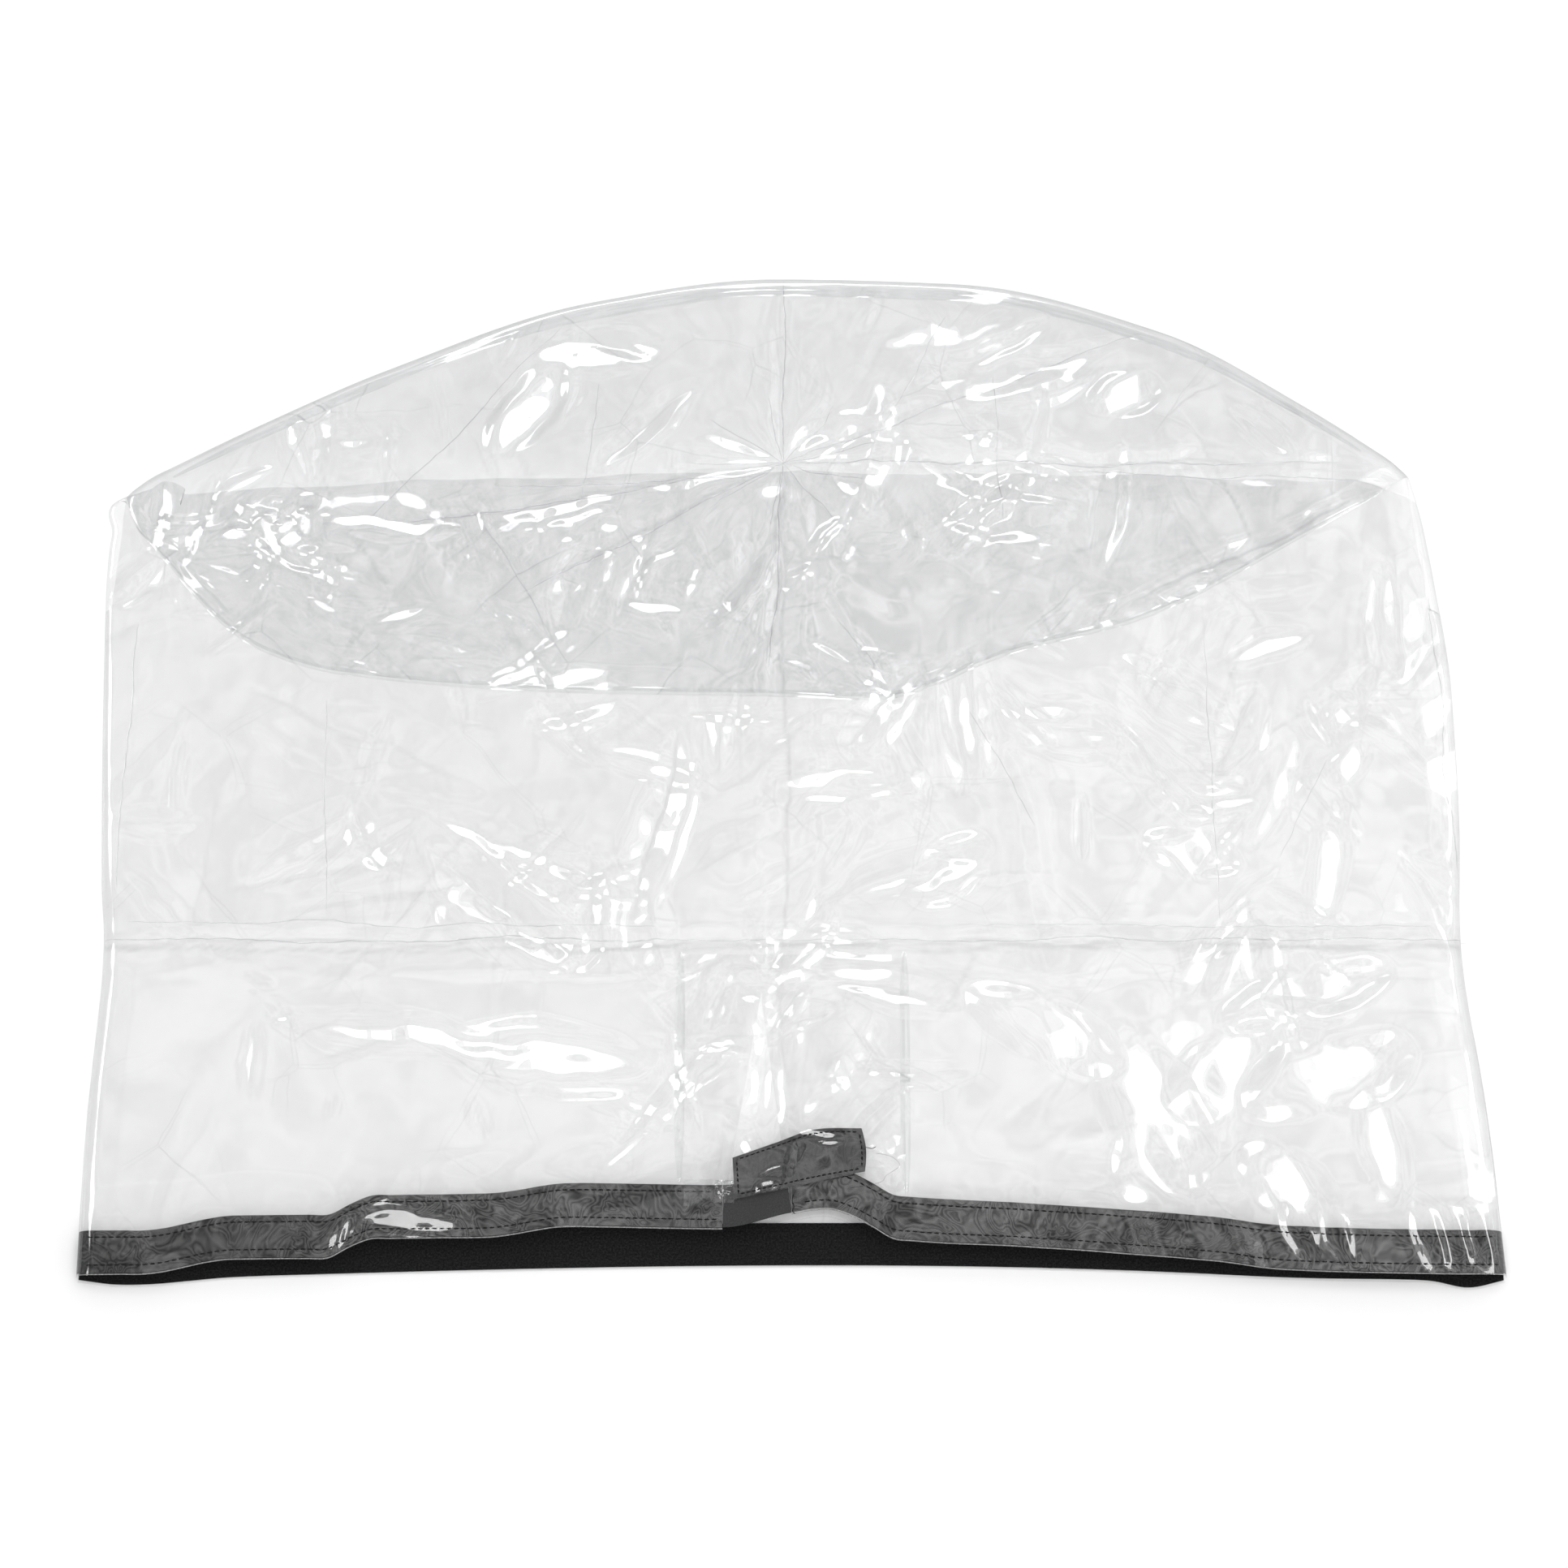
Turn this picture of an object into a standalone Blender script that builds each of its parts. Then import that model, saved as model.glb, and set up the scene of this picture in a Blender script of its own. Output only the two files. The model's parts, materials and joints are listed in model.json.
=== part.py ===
"""A clear film slip-over cover, laid flat: an oval crown, a straight wall, and a black
hook-and-loop hem with a slit, a gusset and a closing tab.

Metres, +Z up. The cover lies on Z = 0 with its crown towards +Y and its hem towards -Y.
The origin is under the middle of its box. The layers are, from the bottom: the back wall,
the front wall (a plane that rises towards the open hem), the top of the front wall turned
under, and the crown.
"""

import math

import bmesh
import bpy
import numpy as np
from mathutils import Vector

# ---- Sheet goods -------------------------------------------------------------------------
FILM = 0.0004          # PVC film
TAPE = 0.0015          # hook-and-loop tape
TAPE_WIDTH = 0.025
THREAD = 0.0003        # a sewing thread, drawn as a flat run
THREAD_WIDTH = 0.0006
GAP = 0.0003           # clearance between pieces that touch

# ---- Laid-flat layout --------------------------------------------------------------------
MIDDLE = Vector((0.00195, 0.0, 0.0))    # brings the middle of the box over the origin
SLOPE = 0.03           # how fast the front wall rises towards the hem
FOLD_HEIGHT = 0.0034   # underside of the front wall at the hidden fold
FOLD_Y = 0.190
CREASE_Y = -0.115      # packing crease, where the front skirt lifts
CREASE_GAP = 0.0006
SIDE_FOLD = 0.028      # plan width of the turned-over film at each side
FOLD_START_Y = -0.3135
FOLD_STOP_Y = 0.168
HEM_ZONE_Y = -0.200    # from here to the hem the side folds open up to clear the tapes
HEM_ZONE = 0.050
HEM_LIP = 0.0015       # film that shows below the tape
SEAM_WIDTH = 0.004     # welded edge of the crown
SEAM_GAP = 0.001       # from the weld to the films it joins

# Outlines of the flat cover, seen from above. Each is a smooth line through its points.
LEFT_EDGE = [(-0.3210, -0.424), (-0.225, -0.423), (-0.118, -0.418), (-0.080, -0.421),
             (0.070, -0.427), (0.120, -0.428), (0.165, -0.424), (0.182, -0.413)]
RIGHT_EDGE = [(-0.3210, 0.424), (-0.216, 0.417), (-0.110, 0.407), (-0.030, 0.410),
              (0.050, 0.409), (0.115, 0.402), (0.182, 0.391), (0.192, 0.387)]
TOP_ARC = [(-0.413, 0.182), (-0.330, 0.226), (-0.255, 0.261), (-0.130, 0.306),
           (-0.010, 0.3225), (0.108, 0.319), (0.236, 0.286), (0.332, 0.231), (0.387, 0.192)]
FRONT_SEAM = [(-0.424, 0.172), (-0.389, 0.130), (-0.340, 0.080), (-0.289, 0.060),
              (-0.178, 0.049), (-0.020, 0.044), (0.050, 0.041), (0.139, 0.073),
              (0.215, 0.094), (0.328, 0.153), (0.392, 0.190)]
HIDDEN_FOLD = [(-0.424, 0.174), (-0.344, 0.181), (-0.190, 0.189), (0.0, 0.194),
               (0.170, 0.192), (0.320, 0.188), (0.392, 0.191)]
BACK_HEM = [(-0.424, -0.318), (-0.395, -0.321), (-0.325, -0.316), (-0.160, -0.312),
            (-0.010, -0.308), (0.150, -0.310), (0.310, -0.317), (0.374, -0.318),
            (0.402, -0.3225), (0.424, -0.318)]
FRONT_HEM = [(-0.424, -0.315), (-0.385, -0.316), (-0.330, -0.307), (-0.275, -0.3065),
             (-0.250, -0.295), (-0.180, -0.294), (-0.130, -0.2875), (-0.041, -0.289),
             (0.0, -0.280), (0.020, -0.277), (0.040, -0.283), (0.062, -0.295),
             (0.145, -0.300), (0.250, -0.308), (0.285, -0.3125), (0.345, -0.315),
             (0.424, -0.316)]

# ---- Slit, gusset and tab ----------------------------------------------------------------
SLIT_LEFT_X = -0.041   # the slit is this wide at the hem and closes at SLIT_TOP_Y
SLIT_RIGHT_X = 0.0
SLIT_TOP = (-0.018, -0.150)
GUSSET_LEFT_X = -0.067
GUSSET_RIGHT_X = 0.068
GUSSET_TOP_Y = -0.121
WELD_WIDTH = 0.006
PATCH = (-0.064, -0.047, 0.016)     # left and right x, and height, of the film patch
TAB_LIFT = 0.0020                   # clearance from the front film to the tab's tape
TAB_SWIVEL = (-0.0405, -0.2670)     # the sewn corner, about which the tab swings flat
TAB_HINGE = (-0.0350, -0.2590)      # on the sewn end, about which the tab peels up
TAB_OUTLINE = [(-0.034, -0.2715), (0.010, -0.2620), (0.0440, -0.2550), (0.0450, -0.2390),
               (0.0420, -0.2280), (0.0120, -0.2290), (-0.010, -0.2370), (-0.0355, -0.2460)]
TAB_INSET = 0.0025                  # stitching to the edge of the tab
ROOT_OUTLINE = [(-0.0445, -0.2725), (-0.0350, -0.2718), (-0.0362, -0.2600),
                (-0.0440, -0.2620)]

# ---- Stitching ---------------------------------------------------------------------------
UPPER_ROW = 0.0040     # from the tape's upper edge
LOWER_ROW = 0.0045     # from the tape's lower edge
SAMPLES = 34           # points along a long outline


def clear_scene():
    for obj in list(bpy.data.objects):
        bpy.data.objects.remove(obj, do_unlink=True)


def material(name, colour, roughness, alpha=1.0):
    mat = bpy.data.materials.new(name)
    mat.use_nodes = True
    shader = mat.node_tree.nodes["Principled BSDF"]
    shader.inputs["Base Color"].default_value = (*colour, 1.0)
    shader.inputs["Roughness"].default_value = roughness
    shader.inputs["Metallic"].default_value = 0.0
    shader.inputs["Alpha"].default_value = alpha
    return mat


def smooth_line(points):
    """A function through the points: cubic pieces whose slopes never overshoot."""
    xs = np.array([p[0] for p in points])
    ys = np.array([p[1] for p in points])
    steps = np.diff(xs)
    rises = np.diff(ys) / steps
    slopes = np.zeros(len(xs))
    slopes[0], slopes[-1] = rises[0], rises[-1]
    for i in range(1, len(xs) - 1):
        if rises[i - 1] * rises[i] > 0:
            slopes[i] = 2.0 / (1.0 / rises[i - 1] + 1.0 / rises[i])

    def value(x):
        i = int(np.clip(np.searchsorted(xs, x) - 1, 0, len(steps) - 1))
        h, t = steps[i], (x - xs[i]) / steps[i]
        return float(
            (2 * t**3 - 3 * t**2 + 1) * ys[i] + (t**3 - 2 * t**2 + t) * h * slopes[i]
            + (3 * t**2 - 2 * t**3) * ys[i + 1] + (t**3 - t**2) * h * slopes[i + 1]
        )

    return value


left_edge, right_edge = smooth_line(LEFT_EDGE), smooth_line(RIGHT_EDGE)
top_arc, front_seam = smooth_line(TOP_ARC), smooth_line(FRONT_SEAM)
hidden_fold = smooth_line(HIDDEN_FOLD)
back_hem, front_hem = smooth_line(BACK_HEM), smooth_line(FRONT_HEM)


SIDES = (("left", left_edge, 1), ("right", right_edge, -1))


def along_x(line, start, stop, count=SAMPLES, shift=0.0):
    """Points on a line that is a function of x."""
    return [(x, line(x) + shift) for x in np.linspace(start, stop, count)]


def along_y(line, start, stop, count=SAMPLES, shift=0.0):
    """Points on an edge that is a function of y."""
    return [(line(y) + shift, y) for y in np.linspace(start, stop, count)]


def inset(points, distance):
    """The line moved sideways by distance, to its left as it is walked."""
    moved = []
    for i, (x, y) in enumerate(points):
        before, after = points[max(i - 1, 0)], points[min(i + 1, len(points) - 1)]
        along = Vector((after[0] - before[0], after[1] - before[1])).normalized()
        moved.append((x - along.y * distance, y + along.x * distance))
    return moved


def front_plane(y):
    """Underside of the front wall."""
    return FOLD_HEIGHT + SLOPE * (FOLD_Y - y)


def layer(offset):
    """A plane at a set height over the front wall's underside."""
    return lambda x, y: front_plane(y) + offset


def flat(height):
    return lambda x, y: height


def fold_underside(y, part):
    """Underside of a side fold: part is 0 at the cover's edge and 1 at the front wall."""
    at_hem = min(max((HEM_ZONE_Y - y) / HEM_ZONE, 0.0), 1.0)
    edge_height = FILM + GAP + at_hem * 2 * (TAPE + GAP)
    return (1 - part) * edge_height + part * front_plane(y)


OVER_FILM = FILM + GAP                      # just above the front film
UNDER_TAPE = -GAP - TAPE                    # tape held under the front film
GUSSET_LAYER = UNDER_TAPE - GAP - FILM
CROWN_LAYER = 2 * OVER_FILM
TAB_LAYER = FILM + TAB_LIFT
TAB_FILM_LAYER = TAB_LAYER + TAPE + GAP
TAB_TOP = TAB_FILM_LAYER + OVER_FILM + THREAD
BACK_TAPE_HEIGHT = OVER_FILM


def add_object(name, bm, mat, pivot=None):
    """Makes the object, with its origin on the pivot's empty if it has one."""
    bmesh.ops.recalc_face_normals(bm, faces=bm.faces[:])
    mesh = bpy.data.meshes.new(name)
    origin = pivot.location if pivot is not None else Vector()
    bmesh.ops.translate(bm, verts=bm.verts[:], vec=MIDDLE - origin)
    bm.to_mesh(mesh)
    bm.free()
    mesh.materials.append(mat)
    obj = bpy.data.objects.new(name, mesh)
    bpy.context.collection.objects.link(obj)
    if pivot is not None:
        obj.parent = pivot
    return obj


def thicken(bm, thickness):
    """Extrudes a sheet of faces straight up into a closed solid."""
    raised = bmesh.ops.extrude_face_region(bm, geom=bm.faces[:])["geom"]
    verts = [item for item in raised if isinstance(item, bmesh.types.BMVert)]
    bmesh.ops.translate(bm, verts=verts, vec=(0.0, 0.0, thickness))


def plate(name, outline, height, thickness, mat, pivot=None):
    """A thin plate with this outline, its underside on the plane height(x, y)."""
    bm = bmesh.new()
    bm.faces.new([bm.verts.new((x, y, height(x, y))) for x, y in outline])
    thicken(bm, thickness)
    return add_object(name, bm, mat, pivot)


def strip(name, one_side, other_side, height, thickness, mat, pivot=None, closed=False):
    """A long thin band between two lines with the same number of points. The height
    function sees each point, and 0 on one side or 1 on the other."""
    bm = bmesh.new()
    near = [bm.verts.new((x, y, height(x, y, 0.0))) for x, y in one_side]
    far = [bm.verts.new((x, y, height(x, y, 1.0))) for x, y in other_side]
    count = len(near)
    for i in range(count if closed else count - 1):
        j = (i + 1) % count
        bm.faces.new((near[i], near[j], far[j], far[i]))
    thicken(bm, thickness)
    return add_object(name, bm, mat, pivot)


def band(name, points, width, height, thickness, mat, pivot=None):
    """A strip that lies to both sides of a line."""
    return strip(name, inset(points, -width / 2), inset(points, width / 2),
                 lambda x, y, side: height(x, y), thickness, mat, pivot)


def pivot_empty(name, place):
    """An empty on a joint's axis, for the pieces that move with it."""
    empty = bpy.data.objects.new(name, None)
    empty.location = MIDDLE + Vector(place)
    bpy.context.collection.objects.link(empty)
    return empty


def build_walls(film):
    """The film that stays put: back wall, upper front wall, side folds, crown."""
    hem = along_x(back_hem, -0.4235, 0.4235, 40)
    right = along_y(right_edge, -0.312, 0.188, 20)
    arc = inset(along_x(top_arc, 0.384, -0.410, 36), SEAM_WIDTH + SEAM_GAP)
    left = along_y(left_edge, 0.175, -0.312, 20)
    plate("back_wall", hem + right + arc + left, flat(0.0), FILM, film)

    low, high = CREASE_Y + CREASE_GAP / 2, 0.174
    right = along_y(right_edge, low, high, 12, -SIDE_FOLD)
    fold = along_x(hidden_fold, right[-1][0], left_edge(high) + SIDE_FOLD, 24, -GAP)
    left = along_y(left_edge, high - 0.004, low, 12, SIDE_FOLD)
    plate("front_wall", right + fold + left, layer(0.0), FILM, film)

    for side_name, edge, inward in SIDES:
        inner = along_y(edge, FOLD_START_Y, FOLD_STOP_Y, 30, inward * (SIDE_FOLD - GAP))
        outer = along_y(edge, FOLD_START_Y, FOLD_STOP_Y, 30, inward * GAP)
        strip(f"{side_name}_side_fold", inner, outer,
              lambda x, y, side: fold_underside(y, 1 - side), FILM, film)

    seam_line = along_x(front_seam, -0.412, 0.380, 34)
    fold = along_x(hidden_fold, 0.376, -0.404, 24, -0.003)
    edge = inset(seam_line, SEAM_WIDTH + SEAM_GAP)
    plate("front_wall_turned_under", edge + fold, layer(OVER_FILM), FILM, film)

    arc = inset(along_x(top_arc, 0.378, -0.402, 36), SEAM_WIDTH + SEAM_GAP)
    plate("crown", edge + arc, layer(CROWN_LAYER), FILM, film)


def build_crown_seams(weld):
    """The welded edges where the crown meets the wall."""
    arc = along_x(top_arc, -0.408, 0.383, 44)
    strip("back_crown_seam", arc, inset(arc, -SEAM_WIDTH), lambda x, y, side: 0.0,
          FILM * 2, weld)
    seam = along_x(front_seam, -0.408, 0.378, 44)
    strip("front_crown_seam", seam, inset(seam, SEAM_WIDTH),
          lambda x, y, side: front_plane(y) + OVER_FILM, OVER_FILM + FILM, weld)


def build_back_hem(tape, thread):
    low = along_x(back_hem, -0.4215, 0.4215, 40, HEM_LIP)
    high = along_x(back_hem, -0.4215, 0.4215, 40, HEM_LIP + TAPE_WIDTH)
    strip("back_hem_tape", low, high, lambda x, y, side: BACK_TAPE_HEIGHT, TAPE, tape)
    on_tape = flat(BACK_TAPE_HEIGHT + TAPE + GAP)
    for name, shift in (("back_hem_stitch_lower", HEM_LIP + LOWER_ROW),
                        ("back_hem_stitch_upper", HEM_LIP + TAPE_WIDTH - UPPER_ROW)):
        row = along_x(back_hem, -0.392, 0.392, 40, shift)
        band(name, row, THREAD_WIDTH, on_tape, THREAD, thread)


def build_side_tapes(tape):
    """The hem tape where it turns over at each side, under the side folds."""
    low = FOLD_START_Y + 0.001 + HEM_LIP
    high = low + TAPE_WIDTH - 0.003
    outer_inset = 0.004
    under = 2 * GAP + TAPE
    for side_name, edge, inward in SIDES:
        inner = along_y(edge, low, high, 5, inward * (SIDE_FOLD - TAPE))
        outer = along_y(edge, low, high, 5, inward * outer_inset)
        inner_part, outer_part = 1 - TAPE / SIDE_FOLD, outer_inset / SIDE_FOLD
        strip(f"{side_name}_side_tape", inner, outer, lambda x, y, side: fold_underside(
            y, (1 - side) * inner_part + side * outer_part) - under, TAPE, tape)


def build_skirt(film, weld, tape, thread, pivot):
    """The part of the front that lifts: film, gusset, welds, hem tapes and stitching."""
    left_end, right_end = left_edge(-0.30) + SIDE_FOLD, right_edge(-0.30) - SIDE_FOLD
    high = CREASE_Y - CREASE_GAP / 2
    hem_left = along_x(front_hem, left_end, SLIT_LEFT_X, 30)
    hem_right = along_x(front_hem, SLIT_RIGHT_X, right_end, 34)
    right = along_y(right_edge, -0.30, high, 10, -SIDE_FOLD)
    left = along_y(left_edge, high, -0.30, 10, SIDE_FOLD)
    plate("front_skirt", hem_left + [SLIT_TOP] + hem_right + right + left,
          layer(0.0), FILM, film, pivot)

    hem = along_x(front_hem, GUSSET_LEFT_X, GUSSET_RIGHT_X, 16, HEM_LIP)
    plate("gusset_panel", hem + [(GUSSET_RIGHT_X, GUSSET_TOP_Y), (GUSSET_LEFT_X, GUSSET_TOP_Y)],
          layer(GUSSET_LAYER), FILM, film, pivot)
    over_tape = layer(OVER_FILM)
    for name, x in (("gusset_weld_left", GUSSET_LEFT_X), ("gusset_weld_right", GUSSET_RIGHT_X)):
        line = [(x, y) for y in np.linspace(front_hem(x) + TAPE_WIDTH + 0.003, GUSSET_TOP_Y, 8)]
        band(name, line, WELD_WIDTH, over_tape, FILM, weld, pivot)

    def hem_band(name, start, stop, count):
        low = along_x(front_hem, start, stop, count, HEM_LIP)
        high = along_x(front_hem, start, stop, count, HEM_LIP + TAPE_WIDTH)
        strip(name, low, high, lambda x, y, side: front_plane(y) + UNDER_TAPE, TAPE, tape, pivot)

    hem_band("left_hem_tape", left_end + GAP, SLIT_LEFT_X - GAP, 30)
    hem_band("hook_tongue", SLIT_LEFT_X, SLIT_RIGHT_X, 5)
    hem_band("right_hem_tape", SLIT_RIGHT_X + GAP, right_end - GAP, 34)

    for side, start, stop in (("left", left_end + 0.002, GUSSET_LEFT_X - 0.004),
                              ("right", GUSSET_RIGHT_X + 0.004, right_end - 0.002)):
        for row, shift in (("lower", HEM_LIP + LOWER_ROW),
                           ("upper", HEM_LIP + TAPE_WIDTH - UPPER_ROW)):
            points = along_x(front_hem, start, stop, 40, shift)
            band(f"{side}_hem_stitch_{row}", points, THREAD_WIDTH, over_tape, THREAD, thread, pivot)

    start, stop, rise = PATCH
    base = front_hem(start) + HEM_LIP + TAPE_WIDTH - rise + 0.003
    corners = [(start, base), (stop, base), (stop, base + rise), (start, base + rise)]
    plate("hem_end_patch", corners, over_tape, FILM, film, pivot)


def build_tab(film, tape, thread, root_pivot, pivot):
    """The closing tab, on a small film root that lets it swing."""
    plate("tab_root_film", ROOT_OUTLINE, layer(TAB_FILM_LAYER), FILM, film, root_pivot)
    plate("tab_tape", TAB_OUTLINE, layer(TAB_LAYER), TAPE, tape, pivot)
    plate("tab_film", TAB_OUTLINE, layer(TAB_FILM_LAYER), FILM, film, pivot)
    middle = Vector((sum(p[0] for p in TAB_OUTLINE), sum(p[1] for p in TAB_OUTLINE))) / len(TAB_OUTLINE)

    def towards_middle(distance):
        ring = []
        for x, y in TAB_OUTLINE:
            away = Vector((x, y)) - middle
            ring.append((x - math.copysign(distance, away.x), y - math.copysign(distance, away.y)))
        return ring

    strip("tab_stitch", towards_middle(TAB_INSET), towards_middle(TAB_INSET + THREAD_WIDTH),
          lambda x, y, side: front_plane(y) + TAB_FILM_LAYER + OVER_FILM, THREAD, thread,
          pivot, closed=True)


def build():
    clear_scene()
    film = material("clear_film", (0.93, 0.95, 0.95), 0.05, 0.25)
    weld = material("welded_film", (0.88, 0.90, 0.90), 0.10, 0.40)
    loop = material("loop_tape", (0.012, 0.012, 0.013), 0.95)
    hook = material("hook_tape", (0.035, 0.035, 0.036), 0.80)
    thread = material("thread", (0.015, 0.015, 0.015), 0.70)

    crease = pivot_empty("skirt_hinge", (0.0, CREASE_Y, front_plane(CREASE_Y) + FILM / 2))
    swivel_x, swivel_y = TAB_SWIVEL
    swivel = pivot_empty("tab_swivel", (swivel_x, swivel_y, front_plane(swivel_y) + TAB_LAYER))
    hinge_x, hinge_y = TAB_HINGE
    hinge = pivot_empty("tab_hinge", (hinge_x, hinge_y, front_plane(hinge_y) + TAB_TOP))

    build_walls(film)
    build_crown_seams(weld)
    build_back_hem(loop, thread)
    build_side_tapes(loop)
    build_skirt(film, weld, loop, thread, crease)
    build_tab(film, hook, thread, swivel, hinge)
    bpy.data.objects["hook_tongue"].data.materials[0] = hook


build()
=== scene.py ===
"""The look of the clear slip-over cover: wrinkled film, black hem tape, stitching, welds
and the closing tab, laid flat on a white table. Metres, in the CAD model's own frame."""

import json
from math import atan2, cos, hypot, pi, radians, sin, sqrt

import bmesh
import bpy
import numpy as np
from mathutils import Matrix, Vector

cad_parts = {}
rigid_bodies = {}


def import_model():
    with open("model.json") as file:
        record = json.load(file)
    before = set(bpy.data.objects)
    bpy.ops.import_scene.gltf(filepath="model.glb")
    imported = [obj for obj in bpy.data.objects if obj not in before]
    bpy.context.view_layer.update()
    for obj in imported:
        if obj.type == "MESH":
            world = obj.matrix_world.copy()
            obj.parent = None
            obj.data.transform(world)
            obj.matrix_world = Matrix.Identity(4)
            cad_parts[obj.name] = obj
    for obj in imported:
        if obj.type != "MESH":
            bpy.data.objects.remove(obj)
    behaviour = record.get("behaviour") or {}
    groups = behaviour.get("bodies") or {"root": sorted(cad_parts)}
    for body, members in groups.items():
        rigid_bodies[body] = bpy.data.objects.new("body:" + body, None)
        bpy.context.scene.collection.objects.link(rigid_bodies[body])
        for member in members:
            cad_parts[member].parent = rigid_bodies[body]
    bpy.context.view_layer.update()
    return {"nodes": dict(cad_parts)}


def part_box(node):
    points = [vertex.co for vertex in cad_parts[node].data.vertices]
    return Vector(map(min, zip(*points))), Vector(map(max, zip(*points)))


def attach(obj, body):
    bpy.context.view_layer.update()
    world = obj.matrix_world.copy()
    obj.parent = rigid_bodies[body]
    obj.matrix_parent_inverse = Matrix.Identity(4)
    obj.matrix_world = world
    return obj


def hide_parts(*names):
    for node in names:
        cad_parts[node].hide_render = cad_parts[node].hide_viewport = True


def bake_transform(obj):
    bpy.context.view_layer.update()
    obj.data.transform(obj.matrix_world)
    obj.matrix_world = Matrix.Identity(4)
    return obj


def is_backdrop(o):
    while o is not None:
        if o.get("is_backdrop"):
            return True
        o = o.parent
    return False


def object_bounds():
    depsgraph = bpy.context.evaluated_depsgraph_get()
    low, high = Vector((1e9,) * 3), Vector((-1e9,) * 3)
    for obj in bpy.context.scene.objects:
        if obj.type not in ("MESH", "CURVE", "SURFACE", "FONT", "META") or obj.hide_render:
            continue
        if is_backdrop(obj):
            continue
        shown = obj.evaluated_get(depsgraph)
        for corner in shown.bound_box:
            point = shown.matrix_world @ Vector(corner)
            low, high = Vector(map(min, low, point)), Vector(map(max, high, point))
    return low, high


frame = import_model()
scene = bpy.context.scene

# ---- Sizes ----
MM = 0.001
GRID = 2.0 * MM   # spacing of the film's mesh
FILM = 0.4 * MM
TAPE = 1.3 * MM
TAPE_WIDTH = 25 * MM
HEM_LIP = 1.5 * MM
SEAM = 5 * MM                 # from the cover's outline to the CAD films' edge
SIDE_FOLD = 11 * MM           # how far in from the sides the front curves down
REST = 0.5 * MM               # height of the film that lies on the table
STITCH_PITCH = 4.25 * MM
STITCH_LENGTH = 3.4 * MM
THREAD = 0.42 * MM            # radius of the sewing thread
TAPE_INSET = 0.8 * MM         # of the tape's ends from the cover's outline

# ---- Camera ----
CAMERA_LENS = 82.0
CAMERA_DISTANCE = 2.2
CAMERA_ELEVATION = radians(75.0)
LOOK_AT = Vector((-0.0026, -0.0115, 0.0))
TO_CAMERA = Vector((0.0, -cos(CAMERA_ELEVATION), sin(CAMERA_ELEVATION)))
NEARNESS = 2 * CAMERA_DISTANCE    # metres in which the slope that mirrors a light changes by 1


# ---- Outlines, read from the CAD nodes ----
def corners(node):
    """A CAD node's points, one row each."""
    mesh = frame["nodes"][node].data
    points = np.empty(len(mesh.vertices) * 3)
    mesh.vertices.foreach_get("co", points)
    return np.unique(points.reshape(-1, 3).round(6), axis=0)


def in_order(points):
    """Points sorted by x, one for each x."""
    points = points[np.argsort(points[:, 0])]
    return points[np.concatenate(([True], np.diff(points[:, 0]) > 1e-4))]


def curve_through(xs, ys):
    """A smooth function through points, level beyond its ends."""
    xs, ys = in_order(np.stack((xs, ys), axis=1)).T
    slopes = np.gradient(ys, xs)

    def value(x):
        x = np.clip(np.asarray(x, float), xs[0], xs[-1])
        i = np.clip(np.searchsorted(xs, x) - 1, 0, len(xs) - 2)
        h = xs[i + 1] - xs[i]
        t = (x - xs[i]) / h
        return ((2 * t**3 - 3 * t**2 + 1) * ys[i] + (t**3 - 2 * t**2 + t) * h * slopes[i]
                + (3 * t**2 - 2 * t**3) * ys[i + 1] + (t**3 - t**2) * h * slopes[i + 1])

    value.start, value.stop = xs[0], xs[-1]
    return value


def between(start, stop, share):
    """The value at a share of the way from one to the other."""
    return start + share * (stop - start)


def part_of(curve, share):
    """The x at a share of the way along a curve."""
    return between(curve.start, curve.stop, share)


def shifted(height, up):
    """A curve or surface, moved up by a distance."""
    return lambda *place: height(*place) + up


def unit(value):
    return np.clip(value, 0.0, 1.0)


def outset_curve(points, distance):
    """A curve through points, moved sideways: up if distance is positive."""
    points = in_order(points)
    along = np.gradient(points, axis=0)
    along /= np.linalg.norm(along, axis=1)[:, None]
    moved = points + distance * np.stack((-along[:, 1], along[:, 0]), axis=1)
    return curve_through(moved[:, 0], moved[:, 1])


# Limits in x or y that tell the parts of the back wall's and the front wall's outlines apart.
CORNERS_ABOVE = 0.160
BACK_HEM_BELOW = -0.3145
SIDES_ABOVE, SIDES_BELOW = -0.3135, 0.1885
LEFT_SIDE, RIGHT_SIDE = -0.39, 0.37
FOLD_ABOVE = 0.169

back_points = corners("back_wall")[:, :2]
high = back_points[back_points[:, 1] > CORNERS_ABOVE]
LEFT_CORNER = high[np.argmin(high[:, 0])]
RIGHT_CORNER = high[np.argmax(high[:, 0] + 0.3 * high[:, 1])]


def over_chord(points):
    """Which points lie on the crown's side of a line between the cover's two corners."""
    part = (points[:, 0] - LEFT_CORNER[0]) / (RIGHT_CORNER[0] - LEFT_CORNER[0])
    return points[:, 1] > between(LEFT_CORNER[1], RIGHT_CORNER[1], part) + 0.002


crown_points = corners("crown")[:, :2]
ends = np.stack((LEFT_CORNER, RIGHT_CORNER))


def corner_to_corner(points, distance):
    """The outset curve of some crown points, carried on to the cover's two corners."""
    middle = outset_curve(points, distance)
    x = np.linspace(middle.start, middle.stop, 60)
    x, y = np.append(x, ends[:, 0]), np.append(middle(x), ends[:, 1])
    return curve_through(x, y)


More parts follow.
